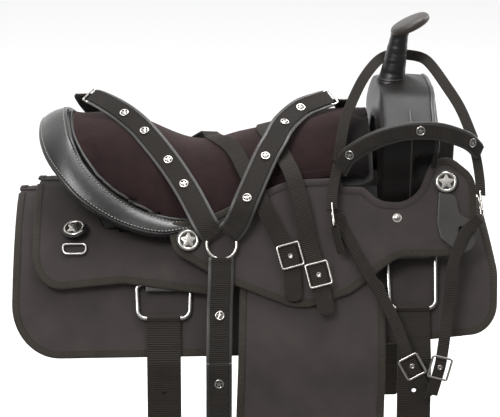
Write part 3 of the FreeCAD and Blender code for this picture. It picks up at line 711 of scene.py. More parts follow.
def swell(piece: bpy.types.Object, pressure: float, cap: float, steps: int = 20) -> None:
    """Blow a closed cloth up from inside, moving no point further than cap."""
    before = coords(piece)
    only(piece)
    cloth = piece.modifiers.new("Cloth", "CLOTH")
    cloth.settings.use_pressure = True
    cloth.settings.uniform_pressure_force = pressure
    cloth.settings.effector_weights.gravity = 0.0
    scene = bpy.context.scene
    for step in range(1, steps + 1):
        scene.frame_set(step)
    bpy.ops.object.modifier_apply(modifier=cloth.name)
    scene.frame_set(1)
    moved = coords(piece) - before
    far = np.linalg.norm(moved, axis=1, keepdims=True)
    set_coords(piece, before + moved * np.minimum(1.0, cap / np.maximum(far, 1e-9)))


def resting(piece: bpy.types.Object, points: Points, lift: float = 0.0) -> tuple[Points, Points]:
    """Nearest places on a piece's skin, raised by lift, and the way the skin faces there."""
    tree = BVHTree.FromObject(piece, bpy.context.evaluated_depsgraph_get())
    places, faces = [], []
    for point in points:
        place, normal, _, _ = tree.find_nearest(Vector(point * MM))
        places.append(np.array(place) / MM + np.array(normal) * lift)
        faces.append(np.array(normal))
    return np.array(places), np.array(faces)


def stitches(name: str, path: Points, faces: Points, pitch: float = 3.4, long: float = 2.3,
             fat: float = 0.7, finish: str = "thread") -> bpy.types.Object:
    """A row of stitches, each a small bead sunk half into the surface.

    Args:
        name: the piece's name.
        path: the line of the row.
        faces: the way the surface faces along it.
        pitch: from one stitch to the next.
        long: a stitch's length.
        fat: a stitch's thickness.
        finish: the thread.

    Returns:
        The piece.
    """
    line = evenly(np.hstack([path, faces]), pitch)
    path, faces = line[:, :3], line[:, 3:]
    across, out = frames(path, faces)
    way = np.cross(out, across)
    deselect()
    bpy.ops.mesh.primitive_uv_sphere_add(segments=6, ring_count=4, radius=1.0)
    bead = bpy.context.object
    bead.name = bead.data.name = name
    places = coords(bead) * MM
    size = len(places)
    polygons = [tuple(p.vertices) for p in bead.data.polygons]
    every = (path[:, None] + across[:, None] * places[None, :, 0, None] * fat / 2
             + out[:, None] * places[None, :, 1, None] * fat / 2
             + way[:, None] * places[None, :, 2, None] * long / 2)
    mesh = bpy.data.meshes.new(name)
    mesh.from_pydata((every.reshape(-1, 3) * MM).tolist(), [],
                     [tuple(v + size * k for v in p) for k in range(len(path)) for p in polygons])
    bead.data = mesh
    tidy(bead, 80.0, fill=False, merge=0.0)
    return wear_finish(bead, finish)


# ---- layers over the horse -----------------------------------------------------


@dataclass(frozen=True)
class Drape:
    """A layer on the horse: round over the back, flat down the side, upright past a bend."""

    lift: float
    bend_z: float = -900.0
    bend_r: float = 1.0

    @property
    def radius(self) -> float:
        """Radius of the layer over the back."""
        return BACK_R + self.lift

    @property
    def flat(self) -> float:
        """Length of the flat stretch down to the bend."""
        return (self.radius * SIN - BACK_R - self.bend_z) / COS

    def reach(self, z: Points) -> Points:
        """Distance over the layer from the spine down to each height."""
        z = np.asarray(z, float)
        r = self.radius
        turn = np.arccos(np.clip((z + BACK_R) / r, -1.0, 1.0))
        edge = -BACK_R + r * SIN
        down = (edge - z) / COS
        sunk = np.clip(SIN - (self.bend_z - z) / self.bend_r, 0.0, SIN)
        curl = self.bend_r * (LEAN - np.arcsin(sunk))
        below = np.maximum(self.bend_z - self.bend_r * SIN - z, 0.0)
        side = np.where(down > self.flat, self.flat + curl + below, down)
        return np.where(z > edge, r * turn, r * TURN + side)

    def place(self, x: Points, s: Points, h: Points | float = 0.0) -> Points:
        """Points at x, at distance s over the layer on the right side, raised by h."""
        x, s, h = np.broadcast_arrays(np.asarray(x, float), np.asarray(s, float), np.asarray(h, float))
        y, z, tilt = self._line(s)
        return np.stack([x, y - h * np.cos(tilt), z + h * np.sin(tilt)], axis=-1)

    def out(self, s: Points) -> Points:
        """The way the layer faces at distance s."""
        tilt = self._line(np.asarray(s, float))[2]
        return np.stack([np.zeros_like(tilt), -np.cos(tilt), np.sin(tilt)], axis=-1)

    def _line(self, s: Points) -> tuple[Points, Points, Points]:
        """Y, Z and tilt of the layer at distance s."""
        r = self.radius
        turn = np.minimum(s, r * TURN) / r
        past = np.maximum(s - r * TURN, 0.0)
        flat = np.minimum(past, self.flat)
        curl = np.clip(past - self.flat, 0.0, self.bend_r * LEAN) / self.bend_r
        below = np.maximum(past - self.flat - self.bend_r * LEAN, 0.0)
        tilt = math.pi / 2 - turn - curl
        y = -r * np.sin(turn) - flat * SIN + self.bend_r * np.where(curl > 0, COS - np.cos(tilt), 0.0)
        z = (-BACK_R + r * np.cos(turn) - flat * COS
             + self.bend_r * np.where(curl > 0, np.sin(tilt) - SIN, 0.0) - below)
        return y, z, tilt


def rounded(corners: Sequence[tuple[float, float, float]], step: float = 3.0) -> Points:
    """Closed outline through corners, each a pair and its radius, as evenly spaced points."""
    ends = []
    count = len(corners)
    for i, (u, v, radius) in enumerate(corners):
        here = np.array([u, v], float)
        before = np.array(corners[i - 1][:2], float) - here
        after = np.array(corners[(i + 1) % count][:2], float) - here
        before /= np.linalg.norm(before)
        after /= np.linalg.norm(after)
        half = math.acos(np.clip(before @ after, -1, 1)) / 2
        if radius == 0:
            ends.append(here[None])
            continue
        middle = here + (before + after) / np.linalg.norm(before + after) * radius / math.sin(half)
        a, b = (here + way * radius / math.tan(half) - middle for way in (before, after))
        start = math.atan2(a[1], a[0])
        turn = (math.atan2(b[1], b[0]) - start + math.pi) % (2 * math.pi) - math.pi
        t = start + turn * np.linspace(0, 1, max(3, int(abs(turn) * radius / 2)))
        ends.append(middle + radius * np.stack([np.cos(t), np.sin(t)], axis=1))
    line = np.vstack([*ends, ends[0][:1]])
    at = lengths(line)
    want = np.linspace(0, at[-1], int(at[-1] / step))[:-1]
    return np.stack([np.interp(want, at, line[:, c]) for c in range(2)], axis=1)


def within(points: Points, outline: Points) -> Points:
    """Which points lie inside a closed outline."""
    inside = np.zeros(len(points), bool)
    for a, b in zip(outline, np.roll(outline, -1, 0)):
        crosses = (a[1] > points[:, 1]) != (b[1] > points[:, 1])
        with np.errstate(divide="ignore", invalid="ignore"):
            x = (b[0] - a[0]) * (points[:, 1] - a[1]) / (b[1] - a[1]) + a[0]
        inside ^= crosses & (points[:, 0] < x)
    return inside


def distance(points: Points, outline: Points) -> Points:
    """Distance from each point to an outline."""
    best = np.full(len(points), 1e9)
    for start in range(0, len(points), 4000):
        block = points[start:start + 4000]
        best[start:start + 4000] = np.sqrt(((block[:, None] - outline[None]) ** 2).sum(-1)).min(1)
    return best


def ripple(x: Points, s: Points, size: float, wide: float, seed: float) -> Points:
    """Gentle waves of a layer, size millimetres high and about wide across."""
    return np.array([noise.noise(Vector((a / wide, b / wide, seed))) for a, b in zip(x, s)]) * size


TAPE = 12.0             # width of the edge tape over each face
SEAM_INSET = 2.2        # from the tape's inner edge to its stitches


@dataclass
class Panel:
    """A cut sheet lying in a layer, bound with tape round its free edge.

    Attributes:
        name: the name its pieces start with.
        corners: outline seen from the side, x, z and corner radius.
        inner: height of its inner face above the horse.
        outer: height of its outer face.
        spine: gives the distance from the spine where it starts at each x; without one it lies flat.
        folded: tells which places on its edge are turned under, with no tape.
    """

    name: str
    corners: Sequence[tuple[float, float, float]]
    inner: float
    outer: float
    spine: Callable[[Points], Points] | None = None
    folded: Callable[[Points, Points], Points] | None = None
    bend_z: float = -900.0
    bend_r: float = 1.0
    proud: float = 0.75
    step: float = 5.0
    wave: float = 0.9
    outline_tail: float = 16.0
    drape: Drape = field(init=False)
    outline: Points = field(init=False)
    open_edge: Points = field(init=False)

    def __post_init__(self) -> None:
        """Lay the outline on the layer."""
        self.drape = Drape((self.inner + self.outer) / 2, self.bend_z, self.bend_r)
        flat = rounded(self.corners)
        s = self.drape.reach(flat[:, 1])
        if self.spine is None:
            s = np.where(flat[:, 1] > self.drape.radius * SIN - BACK_R,
                         self.drape.radius * TURN - (flat[:, 1] - self.drape.radius * SIN + BACK_R) / COS, s)
            self.open_edge = np.ones(len(s), bool)
            self.outline = np.stack([flat[:, 0], s], axis=1)
            return
        start = self.spine(flat[:, 0])
        shape = np.stack([flat[:, 0], np.maximum(s, start), s > start + 0.5], axis=1)
        at = lengths(np.vstack([shape[:, :2], shape[:1, :2]]))
        want = np.linspace(0, at[-1], int(at[-1] / 3.0))[:-1]
        shape = np.stack([np.interp(want, at, np.append(c, c[0])) for c in shape.T], axis=1)
        r = self.outline_tail
        tail = r - np.sqrt(np.clip(r ** 2 - np.clip(r - shape[:, 1], 0, None) ** 2, 0, None))
        rear = shape[:, 0].min()
        shape[:, 0] = np.maximum(shape[:, 0], rear + tail * (shape[:, 0] < rear + 40))
        self.outline = shape[:, :2]
        self.open_edge = shape[:, 2] > 0.5

    def at(self, x: Points, s: Points, h: Points | float = 0.0) -> Points:
        """Points on the panel; one that lies flat ignores the round of the back."""
        if self.spine is None:
            r = self.drape.radius
            x, s, h = np.broadcast_arrays(np.asarray(x, float), np.asarray(s, float), np.asarray(h, float))
            y, z, tilt = self.drape._line(np.maximum(s, r * TURN))
            up = np.maximum(r * TURN - s, 0.0)
            return np.stack([x, y + up * SIN - h * np.cos(tilt), z + up * COS + h * np.sin(tilt)], axis=-1)
        return self.drape.place(x, s, h)

    def out(self, s: Points) -> Points:
        """The way the panel faces."""
        if self.spine is None:
            s = np.maximum(s, self.drape.radius * TURN)
        return self.drape.out(s)

    def sheet(self) -> bpy.types.Object:
        """The panel itself, gently waved and drawn in along its binding."""
        low, high = self.outline.min(0), self.outline.max(0)
        count = np.ceil((high - low) / self.step).astype(int)
        piece, i, j = grid(self.name + "_panel_right", *count)
        flat = low + np.stack([i, j], axis=1) / count * (high - low)
        keep = within(flat, self.outline)
        keep[keep] = distance(flat[keep], self.outline) > 1.5
        deep = distance(flat, self.outline)
        dip = 0.7 * np.exp(-((deep - TAPE - 1.0) / 3.0) ** 2)
        h = ripple(flat[:, 0], flat[:, 1], self.wave, 70.0, self.outer) - dip
        set_coords(piece, self.at(flat[:, 0], flat[:, 1], h))
        set_surface_map(piece, flat)
        self._drop(piece, ~keep)
        thick = self.outer - self.inner
        modify(piece, "SOLIDIFY", thickness=thick * MM, offset=0.0)
        bpy.ops.object.shade_smooth_by_angle(angle=math.radians(50))
        return piece

    @staticmethod
    def _drop(piece: bpy.types.Object, gone: Points) -> None:
        """Delete the marked vertices."""
        only(piece)
        bpy.ops.object.mode_set(mode="EDIT")
        bpy.ops.mesh.select_all(action="DESELECT")
        bpy.ops.object.mode_set(mode="OBJECT")
        piece.data.vertices.foreach_set("select", gone)
        bpy.ops.object.mode_set(mode="EDIT")
        bpy.ops.mesh.select_mode(type="VERT")
        bpy.ops.mesh.delete(type="VERT")
        bpy.ops.object.mode_set(mode="OBJECT")

    def runs(self) -> tuple[Points, Points, bool]:
        """The bound edge as points and inward ways, and whether it closes."""
        x, s = self.outline.T
        turn = 1.0 if (x * np.roll(s, -1) - np.roll(x, -1) * s).sum() > 0 else -1.0
        loop = bool(self.open_edge.all())
        edge = self.outline
        if loop:
            way = np.roll(edge, -2, 0) - np.roll(edge, 2, 0)
        else:
            start = int(np.argmax(self.open_edge & ~np.roll(self.open_edge, 1)))
            edge = edge[(start + np.arange(int(self.open_edge.sum()))) % len(edge)]
            way = np.gradient(edge, axis=0)
        inward = np.stack([-way[:, 1], way[:, 0]], axis=1) * turn
        return edge, inward / np.maximum(np.linalg.norm(inward, axis=1, keepdims=True), 1e-9), loop

    def binding(self) -> bpy.types.Object:
        """The tape folded over the edge."""
        edge, inward, loop = self.runs()
        thick = self.outer - self.inner + 2 * self.proud
        section = oval(TAPE, thick, 3.2, 18) + np.array([TAPE / 2, 0.0])
        a, h = section[:, 0], section[:, 1]
        flat = edge[:, None] + inward[:, None] * a[None, :, None]
        rings = self.at(flat[..., 0], flat[..., 1], np.broadcast_to(h, flat.shape[:2]))
        piece = loft(self.name + "_binding_right", rings, loop, angle=60)
        wear_finish(piece, "edge_tape", "cordura")
        if self.folded:
            middle = np.array([p.center for p in piece.data.polygons]) / MM
            under = self.folded(middle[:, 0], middle[:, 2]).astype(int)
            piece.data.polygons.foreach_set("material_index", under)
        return piece

    def seam(self, inset: float, name: str, h: float) -> bpy.types.Object:
        """A row of stitches along the edge."""
        edge, inward, _ = self.runs()
        flat = edge + inward * inset
        path = self.at(flat[:, 0], flat[:, 1], h)
        return stitches(name, path, self.out(flat[:, 1]))

    def build(self, bodies: dict[Side, str], panel_nodes: dict[Side, Sequence[str]],
              binding_nodes: dict[Side, Sequence[str]]) -> None:
        """Make the panel, its binding and its seam on both sides.

        Args:
            bodies: the body of each side.
            panel_nodes: the nodes that each side's panel stands for.
            binding_nodes: the nodes that each side's binding stands for.
        """
        thick = (self.outer - self.inner) / 2
        made = [(self.sheet(), "cordura", "cordura", panel_nodes),
                (self.binding(), "edge_tape", "edge_tape", binding_nodes),
                (self.seam(TAPE - SEAM_INSET, self.name + "_seam_right", thick + self.proud * 0.93),
                 "thread", "edge_tape", {})]
        if self.folded:
            inner = self.seam(TAPE - 5.2, self.name + "_seam_inner_right", thick + self.proud * 0.97)
            made.append((inner, "thread", "edge_tape", {}))
        for piece, finish, slot, nodes in made:
            give_both(piece, bodies.get, finish, lambda side, nodes=nodes: nodes.get(side, ()))
        LOG.info("%s: panel, binding and seam on both sides", self.name)


SKIRT_EDGE = [(-362, 60, 0), (-367, -184, 72), (40, -182, 200), (352, -155, 44),
              (357, -75, 60), (345, -10, 60), (338, 60, 0)]
REAR_EDGE = [(-334, 60, 0), (-336, -91, 44), (-200, -80, 90), (-45, -100, 20), (-45, 60, 0)]
SEAT_EDGE = [(-136, 2, 10), (-126, -36, 30), (-55, -74, 60), (60, -115, 90), (135, -93, 50),
             (206, -45, 50), (302, -45, 40), (327, -12, 40), (325, 62, 34), (278, 98, 30),
             (256, 76, 26), (232, 26, 44), (180, 30, 40), (158, 49, 14), (126, 50, 6),
             (120, 62, 6), (45, 59, 90), (-20, 34, 60), (-75, 11, 60)]
FENDER_EDGE = [(30, 0, 10), (14, -62, 30), (-29, -80, 20), (-37, -300, 60), (52, -372, 60),
               (52, -466, 0), (104, -466, 0), (104, -372, 60), (182, -300, 60),
               (186, -80, 20), (146, -62, 30), (130, 0, 10)]


def skirt_start(x: Points) -> Points:
    """The skirts meet behind the seat and part in front of it."""
    return np.where(x < -160, 1.5, 46.0)


def rear_start(x: Points) -> Points:
    """The rear jockeys meet behind the roll and run down beside it."""
    r = BACK_R + 26.35
    bow = np.sqrt(np.clip(36.0 ** 2 - np.minimum(x + 201.5, 0.0) ** 2, 0, None))
    y = np.where(x < -237.5, 1.5, 94.5 + bow)
    return r * np.arcsin(y / r)


def jockey_fold(x: Points, z: Points) -> Points:
    """The seat jockey's upper edge is turned under from the seat round the cut-out."""
    return (x > -30) & (z > 20) & (x < 262)


class Panels:
    """The skirts, jockeys and fenders, with the fleece under the skirts."""

    def build(self) -> None:
        """Make every bound panel and the fleece."""
        both = {Side.RIGHT: "saddle", Side.LEFT: "saddle"}
        skirt = Panel("skirt", SKIRT_EDGE, 8, 13, skirt_start, wave=1.1)
        rear = Panel("rear_jockey", REAR_EDGE, 24.7, 28, rear_start, proud=0.6, wave=0.5)
        seat = Panel("seat_jockey", SEAT_EDGE, 36, 41, folded=jockey_fold, wave=0.6, step=4.0)
        fender = Panel("fender", FENDER_EDGE, 29, 34, bend_z=-160.0, bend_r=100.0, wave=0.6)
        for panel in (skirt, rear, seat):
            nodes = {side: [f"{panel.name}_{side.word}"] for side in Side}
            bound = {side: [panel.name + "_bindings"] for side in Side}
            panel.build(both, nodes, bound)
        fender.build({side: f"fender_{side.word}" for side in Side},
                     {side: [f"fender_{side.word}"] for side in Side},
                     {side: [f"fender_binding_{side.word}"] for side in Side})
        self.fleece()

    def fleece(self) -> None:
        """The wool pile under the skirts, tufted and uneven."""
        pile = Panel("fleece", SKIRT_EDGE, 0.6, 7.4, skirt_start, wave=0.0, step=6.0)
        piece = pile.sheet()
        places = coords(piece)
        away = outward(places)
        tuft = np.array([noise.noise(Vector(p / 7.0)) + 0.5 * noise.noise(Vector(p / 3.1)) for p in places])
        set_coords(piece, places - away * np.abs(np.clip(tuft, -1, 1) * 0.5)[:, None])
        piece.name = piece.data.name = "fleece_right"
        twin = give_both(piece, lambda side: "saddle", "fleece", lambda side: ["fleece_lining"])
        LOG.info("fleece: both sides")


# ---- seat ---------------------------------------------------------------------

ROLL_INNER = [(-286, 0, 139), (-282, 55, 128), (-275, 95, 112), (-258, 122, 83),
              (-227, 140, 52), (-183, 150, 23), (-131, 157, 5), (-100, 161, 3)]
ROLL_OUTER = [(-329, 0, 117), (-327, 60, 107), (-315, 105, 87), (-293, 138, 64),
              (-261, 160, 35), (-208, 172, 5), (-149, 178, -10), (-100, 168, -5)]


@dataclass
class Seat:
    """The suede seat, the leather roll over the cantle and the boards under them."""

    roll_thick: float = 9.0
    ear_x: float = 136.0
    seams: tuple[float, float] = (0.105, 0.915)     # shares of the roll's width

    def build(self) -> None:
        """Make the seat's pieces in order."""
        self.pad()
        self.roll()
        self.boards()

    def pad(self) -> None:
        """The padded suede, swollen between its seams."""
        piece = softened(["seat_cover"], "seat_suede", 4.5, 4)
        swell(piece, 4.0, 4.0)
        modify(piece, "SMOOTH", factor=0.5, iterations=4)
        modify(piece, "SUBSURF", levels=1, render_levels=1)
        bpy.ops.object.shade_smooth()
        wear_finish(piece, "suede", "dark_suede")
        middle = np.array([p.center for p in piece.data.polygons]) / MM
        piece.data.polygons.foreach_set("material_index", (middle[:, 0] > self.ear_x).astype(int))
        give(piece, "saddle", "suede", ["seat_cover"])
        self.seat_seams(piece)
        LOG.info("seat pad")

    def seat_seams(self, pad: bpy.types.Object) -> None:
        """The cord before the seat's dark front, and the band sewn along its lower edges."""
        turn = np.radians(np.linspace(-78, 78, 60))
        over = np.stack([np.full_like(turn, self.ear_x), 150 * np.sin(turn), 150 * np.cos(turn) + 20], axis=1)
        path, faces = resting(pad, over, 0.2)
        cord = sweep("seat_front_cord", smooth_line(path, 3), faces, oval(4.0, 3.2, 2.0, 10))
        give(cord, "saddle", "dark_suede")
        over = through([(x, y * side, z) for side, line in ((-1, ROLL_INNER[::-1]), (1, ROLL_INNER[1:]))
                        for x, y, z in line], 3.0)
        path, faces = resting(pad, over + np.array([2.5, 0.0, 0.0]), 0.0)
        welt = sweep("roll_welt", smooth_line(path, 10), faces, oval(6.0, 6.4, 2.0, 12))
        give(welt, "saddle", "smooth_leather")
        x = np.linspace(20, self.ear_x - 2, 40)
        low = np.array([flank(a, 44.0, b) for a, b in zip(x, np.interp(x, (20, 45, 120), (64, 69, 72)))])
        path, faces = resting(pad, low, 0.3)
        path = smooth_line(path, 4)
        band = sweep("seat_band_right", path, faces, oval(13.0, 2.0, 4.0, 14))
        across, out = frames(path, faces)
        row = stitches("seat_band_stitches_right", path - across * 4.6 + out * 0.9, out, 3.4, 2.3, 0.8)
        for piece, finish in ((band, "suede"), (row, "thread")):
            wear_finish(piece, finish)
            give(mirrored(piece, piece.name.replace("right", "left")), "saddle", finish)
            give(piece, "saddle", finish)

    def roll(self) -> None:
        """The cantle roll, crowned across, with a stitched seam along each edge."""
        inner = np.array(ROLL_INNER, float)
        outer = np.array(ROLL_OUTER, float)
        flip = np.array([1.0, -1.0, 1.0])
        a = through(np.vstack([(inner * flip)[::-1], inner[1:]]), 1.0)
        b = through(np.vstack([(outer * flip)[::-1], outer[1:]]), 1.0)
        t = np.linspace(0, 1, 131)
        a = np.stack([np.interp(t, lengths(a) / lengths(a)[-1], a[:, c]) for c in range(3)], axis=1)
        b = np.stack([np.interp(t, lengths(b) / lengths(b)[-1], b[:, c]) for c in range(3)], axis=1)
        across = b - a
        width = np.linalg.norm(across, axis=1, keepdims=True)
        down = np.cross(across, np.gradient(a, axis=0))
        down /= np.linalg.norm(down, axis=1, keepdims=True)
        down *= np.where(down[:, 2:] > 0, -1.0, 1.0)
        a = a - across / width * 1.5
        across = b - a
        face = np.linspace(0, 1, 45)
        u = np.concatenate([face, np.linspace(0.97, 0.03, 12)])
        bulge = np.minimum(6.5, width * 0.17)
        inner_seam, outer_seam = self.seams
        groove = 1.3 * (np.exp(-((face - inner_seam) / 0.02) ** 2)
                        + np.exp(-((face - outer_seam) / 0.018) ** 2))
        crown = np.sin(face * math.pi) ** 0.62 * bulge + 1.2 * np.exp(-((face - 0.045) / 0.03) ** 2) - groove
        depth = np.concatenate([-crown, np.full((len(a), 12), self.roll_thick)], axis=1)
        rings = a[:, None] + across[:, None] * u[None, :, None] + down[:, None] * depth[..., None]
        piece = loft("cantle_roll_leather", rings, angle=70)
        modify(piece, "BEVEL", width=0.0018, segments=3, limit_method="ANGLE", angle_limit=math.radians(50))
        give(piece, "saddle", "roll_leather", ["cantle_roll"])
        for name, share in (("roll_seam_inner", inner_seam), ("roll_seam_outer", outer_seam)):
            path, faces = resting(piece, a + across * share - down * 8.0, 0.35)
            row = stitches(name, smooth_line(path, 2), faces, 5.2, 3.5, 1.7, "pale_thread")
            give(row, "saddle", "pale_thread")
        LOG.info("cantle roll")

    def boards(self) -> None:
        """The leather behind the cantle and the wood and board under the seat."""
        back = softened(["cantle_back"], "cantle_back_leather", 1.6, 3)
        give(back, "saddle", "smooth_leather", ["cantle_back"])
        for node, finish in (("tree_cantle", "tree_wood"), ("tree_bars", "tree_wood"),
                             ("ground_seat", "ground_board")):
            wear_finish(frame["nodes"][node], finish)


# ---- fork and horn -------------------------------------------------------------


@dataclass
class Fork:
    """The leather-covered fork with its welt and seam, and the wrapped horn."""

    neck: tuple = ((211, 0, 188), (222, 0, 256))
    cap_centre: tuple = (237, 0, 269)
    cap_r: float = 31.5
    cap_thick: float = 14.0
    tilt: float = math.radians(25.6)
    rear_x: float = 173.0
    rear_lean: float = 15.0

    def build(self) -> None:
        """Make the cover, the horn and their seams."""
        cover = softened(["tree_fork", "fork_cover", "horn_post"], "fork_leather", 3.6, 42)
        places = coords(cover)
        x, y, z = places.T
        rear = self.rear_x + self.rear_lean * np.clip((z - 105) / 70, 0, 1)
        x = np.where(x < rear, rear + (x - rear) * 0.3, x)
        z = z + np.where(z > 150, 9.0, 0.0) * np.exp(-((x - 228) / 22) ** 2 - (y / 42) ** 2)
        set_coords(cover, np.stack([x, y, z], axis=1))
        modify(cover, "SMOOTH", factor=0.5, iterations=6)
        bpy.ops.object.shade_smooth()
        give(cover, "saddle", "fork_leather", ["fork_cover", "tree_fork", "horn_post"])
        self.horn()
        self.seams(cover)
        LOG.info("fork and horn")

    def horn(self) -> None:
        """The neck, wrapped and creased, and its round cap."""
        foot, top = (np.array(p, float) for p in self.neck)
        t = np.linspace(-0.14, 1.04, 60)
        flare = 3.5 * np.exp(-((t + 0.14) / 0.10) ** 2)
        radius = 20.0 - 7.0 * t + flare + 1.5 * np.exp(-((t - 1.04) / 0.08) ** 2)
        path = foot + (top - foot) * t[:, None]
        section = oval(2.0, 2.0, 2.0, 40)
        piece = sweep("horn_neck", path, np.tile([-1.0, 0.0, 0.2], (len(t), 1)), section,
                      wide=radius * 1.05, high=radius * 0.98)
        places = coords(piece)
        crease = np.array([noise.noise(Vector((p[0] / 30, p[1] / 30, p[2] / 5.5))) for p in places])
        share = np.clip((places[:, 2:] - foot[2]) / (top[2] - foot[2]), -0.2, 1.2)
        spread = places - (foot + (top - foot) * share)
        set_coords(piece, places + spread * (crease * 0.035)[:, None])
        give(piece, "saddle", "smooth_leather", ["horn_wrap"])
        ring = oval(45.0, 43.0, 2.0, 40)
        path = foot + np.stack([ring[:, 0], ring[:, 1], np.full(40, -3.0)], axis=1)
        collar = sweep("horn_collar", path, np.tile([0.0, 0.0, 1.0], (40, 1)), oval(5.0, 5.0, 2.0, 10),
                       loop=True)
        give(collar, "saddle", "smooth_leather")
        axis = np.array([-math.sin(self.tilt), 0.0, math.cos(self.tilt)])
        half = self.cap_thick / 2
        line = [(-half, 6), (-half - 0.6, 20), (-half + 0.2, 26), (-half + 2.5, 30.2), (-1.5, self.cap_r),
                (1.6, self.cap_r), (half - 3.2, 30.4), (half - 1.2, 28.2), (half - 0.7, 26.6),
                (half - 0.9, 25.6), (half - 0.2, 24.0), (half + 0.6, 16), (half + 0.9, 6),
                (half + 0.95, 0.4)]
        line = through(np.array(line, float), 1.2)
        path = np.array(self.cap_centre, float) + axis * line[:, :1]
        ring = oval(2.0, 2.0, 2.0, 56)
        side = np.array([0.0, 1.0, 0.0])
        front = np.cross(side, axis)
        wheel = side * ring[None, :, :1] + front * ring[None, :, 1:]
        rings = path[:, None] + wheel * line[:, 1][:, None, None]
        cap = loft("horn_cap_leather", rings, angle=60)
        give(cap, "saddle", "horn_leather", ["horn_cap"])

    def seams(self, cover: bpy.types.Object) -> None:
        """The welt round the fork's front edge, and the seam down each swell."""
        arch = [(-124, 20), (-127, 52), (-137, 78), (-147, 100), (-148, 122), (-132, 146), (-108, 164),
                (-74, 174), (-40, 177), (0, 177)]
        right = [(266.0, y, z) for y, z in arch]
        line = through(right + [(x, -y, z) for x, y, z in reversed(right[:-1])], 3.0)
        path, faces = resting(cover, line, 0.6)
        path = smooth_line(path, 6)
        welt = sweep("fork_welt", path, faces, oval(8.0, 4.0, 2.4, 14))
        give(welt, "saddle", "smooth_leather")
        for side in Side:
            start = [(228.0, side.value * y, z) for y, z in arch[::-1][3:]]
            path, faces = resting(cover, through(start, 3.0), 0.0)
            path = smooth_line(path, 3)
            ridge = sweep(f"swell_seam_{side.word}", path, faces, oval(2.6, 2.2, 2.0, 8))
            give(ridge, "saddle", "strap_leather")
            across, _ = frames(path, faces)
            for number, shift in enumerate((-3.0, 3.0)):
                row = stitches(f"swell_stitches_{side.word}_{number}", path + across * shift, faces)
                give(row, "saddle", "thread")


def smooth_line(path: Points, rounds: int) -> Points:
    """Even a path out, its ends kept."""
    path = path.copy()
    for _ in range(rounds):
        path[1:-1] = path[1:-1] / 2 + (path[:-2] + path[2:]) / 4
    return path


# ---- conchos and small metal ---------------------------------------------------


def loose_parts(node: str) -> list[Points]:
    """The separate solids of a frame node, each as its points."""
    source = frame["nodes"][node]
    places = coords(source)
    _, key = np.unique(np.round(places, 2), axis=0, return_inverse=True)
    key = key.ravel()
    faces = np.array([p.vertices[:3] for p in source.data.polygons])
    corner = key[faces]
    label = np.arange(key.max() + 1)
    while True:
        low = label[corner].min(1)
        new = label.copy()
        for c in range(3):
            np.minimum.at(new, corner[:, c], low)
        if (new == label).all():
            break
        label = new
    return [places[label[key] == one] for one in np.unique(label)]


@dataclass(frozen=True)
class Disc:
    """Where a round ornament sits: its middle, the way it faces and its size."""

    middle: Points
    face: Points
    radius: float
    thick: float

    @classmethod
    def of(cls, places: Points) -> "Disc":
        """Measure a round solid of the frame."""
        places = np.unique(np.round(places, 2), axis=0)
        middle = (places.min(0) + places.max(0)) / 2 if len(places) >= 12 else places.mean(0)
        _, _, axes = np.linalg.svd(places - places.mean(0), full_matrices=False)
        face = axes[2] * (1 if axes[2] @ outward(middle) > 0 else -1)
        flat = places - np.outer((places - middle) @ face, face)
        middle = middle + face * (((places - middle) @ face).min() + ((places - middle) @ face).max()) / 2
        return cls(middle, face, np.linalg.norm(flat - flat.mean(0), axis=1).max(), np.ptp(places @ face))


def set_on(source: bpy.types.Object, name: str, disc: Disc, scale: float) -> bpy.types.Object:
    """A copy of a piece that was made facing +Z, set where a disc sits."""
    only(source)
    bpy.ops.object.duplicate()
    piece = bpy.context.object
    piece.name = piece.data.name = name
    up = np.array([0.0, 0.0, 1.0]) - disc.face * disc.face[2]
    up /= np.linalg.norm(up)
    side = np.cross(up, disc.face)
    places = coords(piece) * scale
    base = disc.middle - disc.face * disc.thick / 2
    set_coords(piece, base + places[:, :1] * side + places[:, 1:2] * up + places[:, 2:] * disc.face)
    return piece


